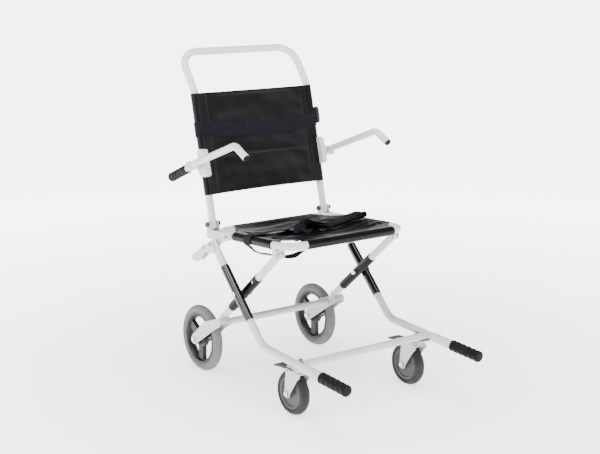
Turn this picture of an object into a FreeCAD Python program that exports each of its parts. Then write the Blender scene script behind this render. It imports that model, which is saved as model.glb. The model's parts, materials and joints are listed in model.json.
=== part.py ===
"""Folding transport wheelchair: a scissor frame of round steel tube with vinyl slings.

Axes: +Z up, the chair faces -Y, and X runs from side to side. The chair's left side is at +X.
Side views are drawn in the YZ plane with Y measured in the frame's own gauge, in which the rear
axle is at rear_axle_y. Every sub-part is then moved along Y by frame_shift, which puts the origin
under the middle of the chair's box.
"""
import FreeCAD, Part
import math
import os
import Sketcher
from FreeCAD import Placement, Rotation, Vector

DIMENSIONS = [
    ("frame_shift", -17.3, "from the frame's gauge to the origin, along Y"),
    ("tube_diameter", 22.0, "frame tube"),
    ("tube_wall", 1.5, "wall of every frame tube"),
    ("arm_diameter", 20.0, "armrest tube"),
    ("cross_diameter", 21.0, "front and rear cross tubes"),
    ("sleeve_diameter", 26.6, "sleeves at the scissor"),
    ("fit_gap", 0.1, "radial gap between fixed pieces that slide together"),
    ("pin_gap", 0.05, "radial gap round a pin that turns"),
    ("slide_gap", 0.4, "radial gap of the telescopic handle"),
    ("pin_radius", 4.0, "scissor, hinge and arm pins"),
    ("front_leg_x", 230.0, "front leg, from the middle plane"),
    ("rear_leg_x", 203.0, "rear leg, from the middle plane"),
    ("back_x", 202.0, "backrest tube, from the middle plane"),
    ("seat_x", 205.0, "seat side rail, from the middle plane"),
    ("wheel_x", 211.0, "rear wheel, from the middle plane"),
    ("caster_x", 205.5, "caster, from the middle plane"),
    ("arm_x", 248.0, "armrest tube, from the middle plane"),
    ("handle_x", 235.0, "rear handle, from the middle plane"),
    ("leg_top_y", 213.0, "latch pin at the top of the front leg"),
    ("leg_top_z", 413.0, "latch pin at the top of the front leg"),
    ("leg_bend_y", -31.0, "front leg's bend"),
    ("leg_bend_z", 168.0, "front leg's bend"),
    ("leg_front_y", -396.0, "front end of the front leg"),
    ("leg_front_z", 149.7, "front end of the front leg"),
    ("leg_bend_radius", 62.0, "front leg's bend"),
    ("scissor_y", 91.0, "scissor bolt"),
    ("scissor_z", 290.5, "scissor bolt"),
    ("front_sleeve_above", 93.0, "sleeve above the scissor bolt"),
    ("front_sleeve_below", 88.0, "sleeve below the scissor bolt"),
    ("rear_sleeve_above", 88.0, "sleeve above the scissor bolt"),
    ("rear_sleeve_below", 90.0, "sleeve below the scissor bolt"),
    ("seat_hinge_y", -72.0, "pin between rear leg and seat"),
    ("seat_hinge_z", 430.0, "pin between rear leg and seat"),
    ("front_cross_y", -203.0, "front cross tube"),
    ("front_cross_z", 160.0, "front cross tube"),
    ("rear_cross_y", 226.0, "rear cross tube"),
    ("rear_cross_z", 166.0, "rear cross tube"),
    ("rear_axle_y", 317.0, "rear axle"),
    ("rear_axle_z", 100.0, "rear axle, as high as the wheel's radius"),
    ("rear_wheel_radius", 100.0, "rear wheel"),
    ("rear_tyre_width", 30.0, "rear tyre"),
    ("rim_radius", 78.0, "rear rim"),
    ("fork_axle_width", 60.0, "outside width of the rear wheel fork at the axle"),
    ("fork_tip_width", 36.0, "outside width of the rear wheel fork at its front tip"),
    ("plate", 3.0, "plates and brackets"),
    ("caster_stem_y", -178.0, "caster's swivel axis"),
    ("caster_wheel_y", -144.5, "caster's wheel axle"),
    ("caster_radius", 62.5, "caster wheel"),
    ("caster_tyre_width", 32.0, "caster tyre"),
    ("caster_core_radius", 45.0, "caster wheel's core"),
    ("handle_back_y", -231.0, "rear end of the front handle's outer tube"),
    ("handle_diameter", 26.4, "outer tube of the front handle"),
    ("grip_start_y", -306.0, "rear end of the front grip"),
    ("grip_length", 108.0, "front grip"),
    ("grip_bore", 13.3, "inside radius of the front grip"),
    ("grip_groove", 14.2, "front grip's outside radius between the ribs"),
    ("grip_rib", 15.9, "outside radius of a front grip's rib"),
    ("rear_grip_length", 102.0, "rear grip"),
    ("rear_grip_groove", 12.5, "rear grip's outside radius between the ribs"),
    ("rear_grip_rib", 14.0, "outside radius of a rear grip's rib"),
    ("seat_rear_y", 244.0, "seat frame's rear rail"),
    ("seat_rear_z", 438.0, "seat frame's rear rail"),
    ("seat_front_y", -119.0, "seat frame's front rail"),
    ("seat_front_z", 460.0, "seat frame's front rail"),
    ("seat_corner", 50.0, "seat frame's corner bends"),
    ("sling_gap", 0.3, "gap between a tube and the sling round it"),
    ("sling_wall", 1.4, "thickness of the slings"),
    ("back_hinge_y", 262.0, "pin between seat and backrest"),
    ("back_hinge_z", 459.0, "pin between seat and backrest"),
    ("back_bend_y", 353.0, "where the push bar leans back"),
    ("back_bend_z", 838.0, "where the push bar leans back"),
    ("back_top_y", 431.0, "push bar"),
    ("back_top_z", 945.0, "push bar"),
    ("back_bend_radius", 50.0, "bend above the sling"),
    ("back_corner", 56.0, "push bar's corner bends"),
    ("back_sling_low", 541.0, "height of the back sling's lower edge"),
    ("back_sling_high", 831.0, "height of the back sling's upper edge"),
    ("strap_low", 708.0, "height of the chest strap's lower edge"),
    ("strap_high", 752.0, "height of the chest strap's upper edge"),
    ("arm_pivot_y", 303.0, "armrest pivot"),
    ("arm_pivot_z", 631.0, "armrest pivot"),
    ("arm_elbow_y", 68.0, "armrest's bend"),
    ("arm_elbow_z", 717.0, "armrest's bend"),
    ("arm_end_y", 12.0, "armrest's front end"),
    ("arm_end_z", 689.5, "armrest's front end"),
    ("arm_bend_radius", 28.0, "armrest's bend"),
    ("rear_grip_y", 345.0, "front end of the rear grip"),
    ("rear_grip_z", 613.5, "front end of the rear grip"),
    ("lever_pivot_y", 246.0, "release lever's pin"),
    ("lever_pivot_z", 396.0, "release lever's pin"),
]

doc = FreeCAD.newDocument("TransportWheelchair")
sheet = doc.addObject("Spreadsheet::Sheet", "Dimensions")
SIZE = {}
for row, (alias, number, note) in enumerate(DIMENSIONS, start=1):
    sheet.set(f"A{row}", alias)
    sheet.set(f"B{row}", str(number))
    sheet.set(f"C{row}", note)
    sheet.setAlias(f"B{row}", alias)
    SIZE[alias] = number
doc.recompute()

SIDES = (("left", 1), ("right", -1))
SUBPARTS = []
TUBE_OUTER = "Dimensions.tube_diameter / 2"
TUBE_INNER = "Dimensions.tube_diameter / 2 - Dimensions.tube_wall"
THROUGH = 80.0


# ---- helpers -------------------------------------------------------------------------------


def place(name):
    """Return a named place of the side view as (y, z)."""
    return SIZE[name + "_y"], SIZE[name + "_z"]


def along(start, end, distance):
    """Return the point at a distance from start on the line to end, in the side view."""
    dy = end[0] - start[0]
    dz = end[1] - start[1]
    length = math.hypot(dy, dz)
    return start[0] + dy * distance / length, start[1] + dz * distance / length


def beside(start, end, distance, offset):
    """Return a point along the line and then off it, to the left of its direction."""
    base = along(start, end, distance)
    ahead = along(start, end, distance + 1.0)
    return base[0] - (ahead[1] - base[1]) * offset, base[1] + (ahead[0] - base[0]) * offset


def keep(piece, label):
    """Name a finished sub-part and put it on the list of files."""
    piece.Label = label
    SUBPARTS.append(piece)
    return piece


def new_body(label, x_expression="0 mm"):
    """Start a body drawn in the side view, at a distance from the middle plane."""
    body = doc.addObject("PartDesign::Body", "Body_" + label)
    body.setExpression("Placement.Base.x", x_expression)
    body.setExpression("Placement.Base.y", "Dimensions.frame_shift")
    return keep(body, label)


def add_sketch(body, name, role="YZ_Plane", offset=None):
    """Add a sketch on one of the body's own origin planes."""
    sketch = body.newObject("Sketcher::SketchObject", f"{name}_{body.Label}")
    planes = [item for item in body.Origin.OriginFeatures if item.Role == role]
    sketch.AttachmentSupport = [(planes[0], "")]
    sketch.MapMode = "FlatFace"
    if offset is not None:
        sketch.AttachmentOffset = offset
    return sketch


def draw_outline(sketch, corners):
    """Draw a closed outline of straight lines."""
    points = [Vector(u, v, 0) for u, v in corners]
    for start, end in zip(points, points[1:] + points[:1]):
        sketch.addGeometry(Part.LineSegment(start, end), False)
    count = len(points)
    for index in range(count):
        sketch.addConstraint(Sketcher.Constraint("Coincident", index, 2, (index + 1) % count, 1))


def draw_circle(sketch, centre, radius_expression):
    """Draw a circle whose radius is bound to the sheet."""
    circle = Part.Circle(Vector(centre[0], centre[1], 0), Vector(0, 0, 1), 1.0)
    index = sketch.addGeometry(circle, False)
    sketch.addConstraint(Sketcher.Constraint("DistanceX", index, 3, centre[0]))
    sketch.addConstraint(Sketcher.Constraint("DistanceY", index, 3, centre[1]))
    radius = sketch.addConstraint(Sketcher.Constraint("Radius", index, 1.0))
    sketch.setExpression(f"Constraints[{radius}]", radius_expression)


def rounded_run(points, radius, closed=False):
    """Turn corner points into straight runs joined by tangent arcs."""
    edges = []
    count = len(points)
    corners = range(count) if closed else range(1, count - 1)
    bends = {}
    for index in corners:
        corner = points[index]
        back = (points[index - 1] - corner).normalize()
        ahead = (points[(index + 1) % count] - corner).normalize()
        half = back.getAngle(ahead) / 2
        bend = radius[index] if isinstance(radius, dict) else radius
        reach = bend / math.tan(half)
        middle = corner + (back + ahead).normalize() * (bend / math.sin(half) - bend)
        bends[index] = (corner + back * reach, middle, corner + ahead * reach)
    for index in range(count if closed else count - 1):
        following = (index + 1) % count
        start = bends[index][2] if index in bends else points[index]
        end = bends[following][0] if following in bends else points[following]
        edges.append(Part.LineSegment(start, end))
        if following in bends:
            edges.append(Part.Arc(*bends[following]))
    return edges


def add_pad(body, sketch, length_expression, middle=True, backwards=False):
    """Pad a sketch; a middle pad is symmetric about the sketch's plane."""
    pad = body.newObject("PartDesign::Pad", "Pad_" + sketch.Name)
    pad.Profile = sketch
    pad.SideType = "Symmetric" if middle else "One side"
    pad.Reversed = backwards
    pad.setExpression("Length", length_expression)
    return pad


def add_pocket(body, sketch, length_expression):
    """Cut a sketch through, the same depth on both sides, and check that it cut."""
    doc.recompute()
    before = body.Shape.Volume
    pocket = body.newObject("PartDesign::Pocket", "Pocket_" + sketch.Name)
    pocket.Profile = sketch
    pocket.SideType = "Symmetric"
    pocket.setExpression("Length", length_expression)
    doc.recompute()
    if body.Shape.Volume >= before:
        raise RuntimeError(f"{sketch.Name} cuts nothing")
    return pocket


def cross_hole(body, centre, radius_expression):
    """Drill a hole along X through a body drawn in the side view."""
    sketch = add_sketch(body, f"Hole{int(centre[0])}")
    draw_circle(sketch, centre, radius_expression)
    add_pocket(body, sketch, f"{THROUGH} mm")


def trim(body, corners):
    """Cut away what lies inside an outline of the side view."""
    sketch = add_sketch(body, "Trim")
    draw_outline(sketch, corners)
    add_pocket(body, sketch, f"{THROUGH} mm")


def add_bent_tube(body, corners, radius, outer_expression, inner_expression, closed=False):
    """Sweep a round tube along corners joined by tangent bends; corners are 3-D points."""
    plane = "YZ_Plane"
    if closed:
        plane = "XY_Plane"
    spine = add_sketch(body, "Spine", plane)
    if closed:
        flat = [Vector(p.x, p.y, 0) for p in corners]
    else:
        flat = [Vector(p.y, p.z, 0) for p in corners]
    for edge in rounded_run(flat, radius, closed):
        spine.addGeometry(edge, False)
    heading = corners[1] - corners[0]
    start = corners[0]
    if closed:
        start = (corners[0] + corners[1]) * 0.5
    upright = Placement(start, Rotation(Vector(0, 0, 1), heading))
    profile = add_sketch(body, "Section", "XY_Plane", upright)
    draw_circle(profile, (0.0, 0.0), outer_expression)
    draw_circle(profile, (0.0, 0.0), inner_expression)
    pipe = body.newObject("PartDesign::AdditivePipe", "Pipe_" + body.Label)
    pipe.Profile = profile
    pipe.Spine = spine
    pipe.Mode = "Frenet" if closed else "Standard"
    return pipe


def side_tube(label, x_expression, corners, radius, outer, inner):
    """Make a tube that lies in one side plane."""
    body = new_body(label, x_expression)
    add_bent_tube(body, [Vector(0, y, z) for y, z in corners], radius, outer, inner)
    return body


def straight_sleeve(label, x_expression, start, end, outer, inner):
    """Make a straight sleeve between two places of the side view, with eased ends."""
    body = new_body(label, x_expression)
    heading = Vector(0, end[0] - start[0], end[1] - start[1])
    upright = Placement(Vector(0, start[0], start[1]), Rotation(Vector(0, 0, 1), heading))
    section = add_sketch(body, "Section", "XY_Plane", upright)
    draw_circle(section, (0.0, 0.0), outer)
    draw_circle(section, (0.0, 0.0), inner)
    add_pad(body, section, f"{heading.Length} mm", middle=False)
    return body


def side_plate(label, x_expression, corners, thickness_expression):
    """Make a plate that lies in one side plane, its thickness shared about that plane."""
    body = new_body(label, x_expression)
    outline = add_sketch(body, "Outline")
    draw_outline(outline, corners)
    add_pad(body, outline, thickness_expression)
    return body


def add_cross_pin(body, name, centre, radius_expression, middle_x, length):
    """Add a round pin along X to a body; middle_x is from the body's own plane."""
    offset = Placement(Vector(0, 0, middle_x), Rotation())
    sketch = add_sketch(body, name, "YZ_Plane", offset)
    draw_circle(sketch, centre, radius_expression)
    return add_pad(body, sketch, f"{length} mm")


def pin_shape(centre, x_low, x_high, radius, head_radius, head_low, head_high):
    """Return a bolt along X as a solid: a shank with a round head at one or both ends."""
    across = Vector(1, 0, 0)
    base = Vector(x_low, centre[0], centre[1])
    bolt = Part.makeCylinder(radius, x_high - x_low, base, across)
    if head_low:
        ring = Part.makeCylinder(head_radius, head_low, base, across)
        bolt = bolt.fuse(ring)
    if head_high:
        base = Vector(x_high - head_high, centre[0], centre[1])
        ring = Part.makeCylinder(head_radius, head_high, base, across)
        bolt = bolt.fuse(ring)
    return bolt.removeSplitter()


def shape_part(label, solids, x=0.0):
    """Keep solids made with Part's own functions as one sub-part, moved along X to its place."""
    feature = doc.addObject("Part::Feature", "Shape_" + label)
    feature.Shape = Part.makeCompound(solids) if len(solids) > 1 else solids[0]
    feature.Placement = Placement(Vector(x, SIZE["frame_shift"], 0), Rotation())
    return keep(feature, label)


def turned_part(label, placement, runs):
    """Revolve closed outlines of (radius, height) about a local upright axis."""
    body = doc.addObject("PartDesign::Body", "Body_" + label)
    keep(body, label)
    sketch = add_sketch(body, "Turned", "XZ_Plane")
    for edge in runs:
        sketch.addGeometry(edge, False)
    turn = body.newObject("PartDesign::Revolution", "Turn_" + label)
    turn.Profile = sketch
    turn.ReferenceAxis = (sketch, ["V_Axis"])
    turn.Angle = 360
    body.Placement = placement
    return body


def closed_lines(corners):
    """Return the edges of a closed outline."""
    points = [Vector(u, v, 0) for u, v in corners]
    return [Part.LineSegment(a, b) for a, b in zip(points, points[1:] + points[:1])]


# ---- front frame ---------------------------------------------------------------------------

LEG_TOP = place("leg_top")
LEG_BEND = place("leg_bend")
LEG_FRONT = place("leg_front")
SCISSOR = place("scissor")
LEG_END_BEYOND_PIN = 8.0
LEG_END = along(LEG_TOP, LEG_BEND, -LEG_END_BEYOND_PIN)
PIN_HOLE = "Dimensions.pin_radius + Dimensions.pin_gap"
SLEEVE_OUTER = "Dimensions.sleeve_diameter / 2"
SLEEVE_INNER = "Dimensions.tube_diameter / 2 + Dimensions.fit_gap"


def build_front_frame():
    """Front legs with sleeves, the front cross tube, brackets, stems and bolts."""
    for side, sign in SIDES:
        x_place = f"{sign} * Dimensions.front_leg_x"
        run = [LEG_FRONT, LEG_BEND, LEG_END]
        bend = SIZE["leg_bend_radius"]
        leg = side_tube(f"front_leg_{side}", x_place, run, bend, TUBE_OUTER, TUBE_INNER)
        cross_hole(leg, SCISSOR, PIN_HOLE)
        cross_hole(leg, LEG_TOP, PIN_HOLE)
        low = along(SCISSOR, LEG_TOP, -SIZE["front_sleeve_below"])
        high = along(SCISSOR, LEG_TOP, SIZE["front_sleeve_above"])
        label = f"front_leg_sleeve_{side}"
        sleeve = straight_sleeve(label, x_place, low, high, SLEEVE_OUTER, SLEEVE_INNER)
        cross_hole(sleeve, SCISSOR, PIN_HOLE)

    half = SIZE["front_leg_x"] - SIZE["tube_diameter"] / 2 - 0.2
    cross = new_body("front_cross_tube")
    section = add_sketch(cross, "Section")
    centre = place("front_cross")
    draw_circle(section, centre, "Dimensions.cross_diameter / 2")
    draw_circle(section, centre, "Dimensions.cross_diameter / 2 - Dimensions.tube_wall")
    add_pad(cross, section, f"{2 * half} mm")


BRACKET_TOP = 147.2
STEM_RADIUS = 6.0


def build_caster_mounts():
    """Flat bracket under the front corner of the frame, and the stem bolted through it."""
    thickness = SIZE["plate"]
    stem_y = SIZE["caster_stem_y"]
    brackets = []
    stems = []
    for _, sign in SIDES:
        stem_x = sign * SIZE["caster_x"]
        outer_x = sign * (SIZE["front_leg_x"] + 4.0)
        inner_x = sign * (SIZE["caster_x"] - 22.0)
        corners = [
            (inner_x, stem_y - 12.0),
            (inner_x, stem_y + 16.0),
            (inner_x + sign * 8.0, stem_y + 24.0),
            (outer_x, stem_y + 24.0),
            (outer_x, stem_y - 36.0),
            (inner_x + sign * 14.0, stem_y - 36.0),
        ]
        points = [Vector(x, y, BRACKET_TOP - thickness) for x, y in corners]
        face = Part.Face(Part.makePolygon(points + points[:1]))
        plate = face.extrude(Vector(0, 0, thickness))
        bore_base = Vector(stem_x, stem_y, BRACKET_TOP - 2 * thickness)
        bore = Part.makeCylinder(STEM_RADIUS + SIZE["fit_gap"], 3 * thickness, bore_base)
        brackets.append(plate.cut(bore))

        base = Vector(stem_x, stem_y, 133.0)
        shank = Part.makeCylinder(STEM_RADIUS, 33.0, base)
        cup = Part.makeCone(19.5, 16.0, 2.6, Vector(stem_x, stem_y, BRACKET_TOP - thickness - 2.7))
        nut_points = []
        for corner in range(6):
            angle = math.radians(60 * corner)
            nut_points.append(Vector(10.4 * math.cos(angle), 10.4 * math.sin(angle), 0))
        nut_face = Part.Face(Part.makePolygon(nut_points + nut_points[:1]))
        nut = nut_face.extrude(Vector(0, 0, 9.0))
        nut.translate(Vector(stem_x, stem_y, BRACKET_TOP + 1.8))
        washer = Part.makeCylinder(13.0, 1.7, Vector(stem_x, stem_y, BRACKET_TOP + 0.1))
        stems.append(shank.fuse([cup, washer, nut]).removeSplitter())
    shape_part("caster_brackets", brackets)
    shape_part("caster_stems", stems)


def build_front_bolts():
    """Scissor bolts, each through a front and a rear leg and their sleeves."""
    bolts = []
    inner_end = SIZE["rear_leg_x"] - SIZE["sleeve_diameter"] / 2 - 6.0
    outer_end = SIZE["front_leg_x"] + SIZE["sleeve_diameter"] / 2 + 1.8
    for _, sign in SIDES:
        bolt = pin_shape(SCISSOR, inner_end, outer_end, SIZE["pin_radius"], 7.5, 5.0, 1.6)
        bolts.append(bolt if sign > 0 else bolt.mirror(Vector(0, 0, 0), Vector(1, 0, 0)))
    shape_part("frame_bolts", bolts)


LEVER_PIVOT = place("lever_pivot")
LEVER_PIN_RADIUS = 3.0
LEVER_WIDTH = 20.0
LEVER_WALL = 2.0


def build_latches():
    """Latch bracket on the outside of each leg top, with its latch pin, and the sprung lever."""
    pins = []
    leg = SIZE["front_leg_x"]
    outside = leg + SIZE["tube_diameter"] / 2
    for _, sign in SIDES:
        corners = [
            beside(LEG_TOP, LEG_BEND, -7.0, -9.0),
            beside(LEG_TOP, LEG_BEND, 26.0, -9.0),
            beside(LEG_TOP, LEG_BEND, 30.0, 4.0),
            (LEVER_PIVOT[0] - 4.0, LEVER_PIVOT[1] - 10.0),
            (LEVER_PIVOT[0] + 8.0, LEVER_PIVOT[1] - 8.0),
            (LEVER_PIVOT[0] + 9.0, LEVER_PIVOT[1] + 6.0),
            beside(LEG_TOP, LEG_BEND, -10.0, 9.0),
        ]
        points = [Vector(outside + 0.1, y, z) for y, z in corners]
        face = Part.Face(Part.makePolygon(points + points[:1]))
        cheek = face.extrude(Vector(SIZE["plate"] - 0.4, 0, 0))
        latch = pin_shape(LEG_TOP, leg - 22.0, outside + 4.2, SIZE["pin_radius"], 6.5, 0, 1.5)
        pivot = pin_shape(LEVER_PIVOT, leg - 12.0, outside + 4.2, LEVER_PIN_RADIUS, 5.5, 1.5, 1.5)
        solid = cheek.fuse([latch, pivot]).removeSplitter()
        pins.append(solid if sign > 0 else solid.mirror(Vector(0, 0, 0), Vector(1, 0, 0)))
    shape_part("latch_brackets", pins)

    tip = (LEVER_PIVOT[0] + 70.0, LEVER_PIVOT[1] - 47.0)
    for side, sign in SIDES:
        corners = [
            beside(LEVER_PIVOT, tip, -9.0, 5.0),
            beside(LEVER_PIVOT, tip, -9.0, -6.0),
            beside(LEVER_PIVOT, tip, 2.0, -12.0),
            beside(LEVER_PIVOT, tip, 64.0, -17.0),
            beside(LEVER_PIVOT, tip, 70.0, -9.0),
            beside(LEVER_PIVOT, tip, 84.0, -9.0),
            beside(LEVER_PIVOT, tip, 88.0, 10.0),
            beside(LEVER_PIVOT, tip, 0.0, 10.0),
        ]
        x_place = f"{sign} * Dimensions.front_leg_x"
        lever = side_plate(f"release_lever_{side}", x_place, corners, f"{LEVER_WIDTH} mm")
        hollow = add_sketch(lever, "Hollow")
        channel = [
            beside(LEVER_PIVOT, tip, -12.0, 10.0 - LEVER_WALL),
            beside(LEVER_PIVOT, tip, -12.0, -20.0),
            beside(LEVER_PIVOT, tip, 92.0, -20.0),
            beside(LEVER_PIVOT, tip, 92.0, 10.0 - LEVER_WALL),
        ]
        draw_outline(hollow, channel)
        add_pocket(lever, hollow, f"{LEVER_WIDTH - 2 * LEVER_WALL} mm")
        cross_hole(lever, LEVER_PIVOT, f"{LEVER_PIN_RADIUS} + Dimensions.pin_gap")


# ---- rear frame ----------------------------------------------------------------------------

SEAT_HINGE = place("seat_hinge")
KNUCKLE_WIDTH = 14.0
FORK_CROWN_BACK = (266.0, 166.0)
FORK_CROWN_FRONT = (198.0, 192.0)


def fork_outline(inset):
    """Return the wheel fork's side outline, drawn in by the inset at the crown and front."""
    axle = place("rear_axle")
    reach = 15.0
    corners = []
    for degrees in (250, 290, 330, 10, 50):
        angle = math.radians(degrees)
        corners.append((axle[0] + reach * math.cos(angle), axle[1] + reach * math.sin(angle)))
    corners += [
        (FORK_CROWN_BACK[0], FORK_CROWN_BACK[1] - inset),
        (FORK_CROWN_FRONT[0] + inset * 0.3, FORK_CROWN_FRONT[1] - inset),
        (187.0 + inset * 1.3, 179.0),
        (190.0 + inset, 168.0),
        (216.0, 153.0),
    ]
    return corners


def build_rear_frame():
    """Rear legs in two tubes joined by a slotted sleeve, the rear cross tube and the forks."""
    foot = along(SEAT_HINGE, SCISSOR, 372.0)
    for side, sign in SIDES:
        x_place = f"{sign} * Dimensions.rear_leg_x"
        upper_end = along(SCISSOR, SEAT_HINGE, SIZE["rear_sleeve_above"] - 26.0)
        run = [upper_end, SEAT_HINGE]
        upper = side_tube(f"rear_leg_upper_{side}", x_place, run, 0, TUBE_OUTER, TUBE_INNER)
        add_cross_pin(upper, "Knuckle", SEAT_HINGE, TUBE_OUTER, 0.0, KNUCKLE_WIDTH)
        cross_hole(upper, SEAT_HINGE, PIN_HOLE)

        lower_end = along(SCISSOR, SEAT_HINGE, 26.0 - SIZE["rear_sleeve_below"])
        run = [lower_end, foot]
        lower = side_tube(f"rear_leg_lower_{side}", x_place, run, 0, TUBE_OUTER, TUBE_INNER)
        over = (FORK_CROWN_FRONT[0] - 60.0, FORK_CROWN_FRONT[1] + 23.1)
        below = (over[0], over[1] - 90.0)
        trim(lower, [over, (FORK_CROWN_BACK[0], FORK_CROWN_BACK[1] + 0.2), (300.0, 120.0), below])

        low = along(SCISSOR, SEAT_HINGE, -SIZE["rear_sleeve_below"])
        high = along(SCISSOR, SEAT_HINGE, SIZE["rear_sleeve_above"])
        label = f"rear_leg_sleeve_{side}"
        sleeve = straight_sleeve(label, x_place, low, high, SLEEVE_OUTER, SLEEVE_INNER)
        cross_hole(sleeve, SCISSOR, PIN_HOLE)
        slot = add_sketch(sleeve, "Slot", "YZ_Plane", Placement(Vector(0, 0, sign * 12.0), Rotation()))
        slot_low = 12.0
        slot_high = SIZE["rear_sleeve_above"] - 18.0
        half_width = 5.0
        corners = [
            beside(SCISSOR, SEAT_HINGE, slot_low, half_width),
            beside(SCISSOR, SEAT_HINGE, slot_low, -half_width),
            beside(SCISSOR, SEAT_HINGE, slot_high, -half_width),
            beside(SCISSOR, SEAT_HINGE, slot_high, half_width),
        ]
        draw_outline(slot, corners)
        add_pocket(sleeve, slot, "12 mm")

    half = SIZE["wheel_x"] - 22.4
    cross = new_body("rear_cross_tube")
    section = add_sketch(cross, "Section")
    centre = place("rear_cross")
    draw_circle(section, centre, "Dimensions.cross_diameter / 2")
    draw_circle(section, centre, "Dimensions.cross_diameter / 2 - Dimensions.tube_wall")
    add_pad(cross, section, f"{2 * half} mm")


AXLE_RADIUS = 5.0
TYRE_ROOM = 3.5


def splayed_prism(axle, tip, trim_width):
    """Return a prism that narrows from the axle to the fork's tip, as seen from above."""
    reach = math.hypot(tip[0] - axle[0], tip[1] - axle[1])
    axle_half = SIZE["fork_axle_width"] / 2 - trim_width
    tip_half = SIZE["fork_tip_width"] / 2 - trim_width
    rows = [(-20.0, axle_half), (0.0, axle_half), (reach, tip_half), (reach + 20.0, tip_half)]
    left = []
    right = []
    for distance, half in rows:
        y, z = beside(axle, tip, distance, -120.0)
        left.append(Vector(-half, y, z))
        right.append(Vector(half, y, z))
    outline = left + list(reversed(right))
    face = Part.Face(Part.makePolygon(outline + outline[:1]))
    across = beside(axle, tip, 0.0, 1.0)
    normal = Vector(0, across[0] - axle[0], across[1] - axle[1])
    return face.extrude(normal * 240.0)


def side_prism(corners, width):
    """Return a prism across X with a side-view outline, its width shared about X = 0."""
    points = [Vector(-width / 2, y, z) for y, z in corners]
    return Part.Face(Part.makePolygon(points + points[:1])).extrude(Vector(width, 0, 0))


def build_forks():
    """Inverted-U fork over each rear wheel, its arms splayed to the axle, and the axle bolt."""
    axle = place("rear_axle")
    tip = (178.0, 172.0)
    wall = SIZE["plate"]
    width = SIZE["fork_axle_width"] + 2.0
    outside = side_prism(fork_outline(0.0), width).common(splayed_prism(axle, tip, 0.0))
    opening = fork_outline(wall)[5:8] + [(150.0, 120.0), (240.0, 40.0), (360.0, 60.0), (350.0, 112.0)]
    inside = side_prism(opening, width).common(splayed_prism(axle, tip, wall))
    across = Vector(1, 0, 0)
    tyre_half = SIZE["rear_tyre_width"] / 2 + 2.0
    tyre_base = Vector(-tyre_half, axle[0], axle[1])
    room = Part.makeCylinder(SIZE["rear_wheel_radius"] + TYRE_ROOM, 2 * tyre_half, tyre_base, across)
    hole_base = Vector(-width / 2, axle[0], axle[1])
    hole = Part.makeCylinder(AXLE_RADIUS + SIZE["pin_gap"], width, hole_base, across)
    fork = outside.cut([inside, room, hole]).removeSplitter()
    axles = []
    for side, sign in SIDES:
        middle = sign * SIZE["wheel_x"]
        shape_part(f"wheel_fork_{side}", fork.Solids, middle)
        reach = SIZE["fork_axle_width"] / 2 + 4.6
        axles.append(pin_shape(axle, middle - reach, middle + reach, AXLE_RADIUS, 8.0, 4.5, 4.5))
    shape_part("rear_axles", axles)


def wheel_placement(x, centre):
    """Stand a turned wheel upright, its axis along X."""
    base = Vector(x, centre[0] + SIZE["frame_shift"], centre[1])
    return Placement(base, Rotation(Vector(0, 1, 0), 90))


def tyre_profile(outer, inner, width, shoulder):
    """Return a tyre's section: flat bead, straight sides and a crowned tread."""
    half = width / 2
    bulge = half - shoulder * 0.3
    left = Vector(outer - shoulder, -half, 0)
    right = Vector(outer - shoulder, half, 0)
    bead = half - 3.0
    tread = Part.Arc(left, Vector(outer, 0, 0), right)
    corners = [right, Vector(inner + 2.0, bulge, 0), Vector(inner, bead, 0)]
    corners += [Vector(inner, -bead, 0), Vector(inner + 2.0, -bulge, 0), left]
    sides = [Part.LineSegment(a, b) for a, b in zip(corners, corners[1:])]
    return [tread] + sides


def build_rear_wheels():
    """Grey tyre on a three-spoke rim, on each side."""
    centre = place("rear_axle")
    outer = SIZE["rear_wheel_radius"]
    rim = SIZE["rim_radius"]
    gap = SIZE["fit_gap"]
    for side, sign in SIDES:
        spot = wheel_placement(sign * SIZE["wheel_x"], centre)
        tyre = tyre_profile(outer, rim + gap, SIZE["rear_tyre_width"], 13.0)
        turned_part(f"rear_tyre_{side}", spot, tyre)
        bore = AXLE_RADIUS + SIZE["pin_gap"]
        half = [(bore, 24.0), (15.0, 24.0), (17.0, 12.0), (22.0, 7.0), (66.0, 6.0), (70.0, 12.5)]
        half.append((rim, 12.5))
        corners = half + [(r, -z) for r, z in reversed(half)]
        wheel = turned_part(f"rear_rim_{side}", spot, closed_lines(corners))
        window = add_sketch(wheel, "Window", "XY_Plane")
        inner_radius = 27.0
        outer_radius = 65.0
        inner_half = math.radians(34)
        outer_half = math.radians(49)
        corner = [
            Vector(-inner_radius * math.cos(inner_half), inner_radius * math.sin(inner_half), 0),
            Vector(-outer_radius * math.cos(outer_half), outer_radius * math.sin(outer_half), 0),
        ]
        mirror = [Vector(p.x, -p.y, 0) for p in corner]
        window.addGeometry(Part.LineSegment(corner[0], corner[1]), False)
        window.addGeometry(Part.Arc(corner[1], Vector(-outer_radius, 0, 0), mirror[1]), False)
        window.addGeometry(Part.LineSegment(mirror[1], mirror[0]), False)
        window.addGeometry(Part.Arc(mirror[0], Vector(-inner_radius, 0, 0), corner[0]), False)
        cut = add_pocket(wheel, window, "60 mm")
        pattern = wheel.newObject("PartDesign::PolarPattern", "Spokes_" + side)
        pattern.Originals = [cut]
        axis = [item for item in wheel.Origin.OriginFeatures if item.Role == "Z_Axis"]
        pattern.Axis = (axis[0], [""])
        pattern.Angle = 360
        pattern.Occurrences = 3
        wheel.Tip = pattern


# ---- casters -------------------------------------------------------------------------------

CASTER_AXLE_RADIUS = 4.0
FORK_TOP = 131.4
PEDAL_PIN = (-146.0, 130.5)
PEDAL_PIN_RADIUS = 2.5


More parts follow.
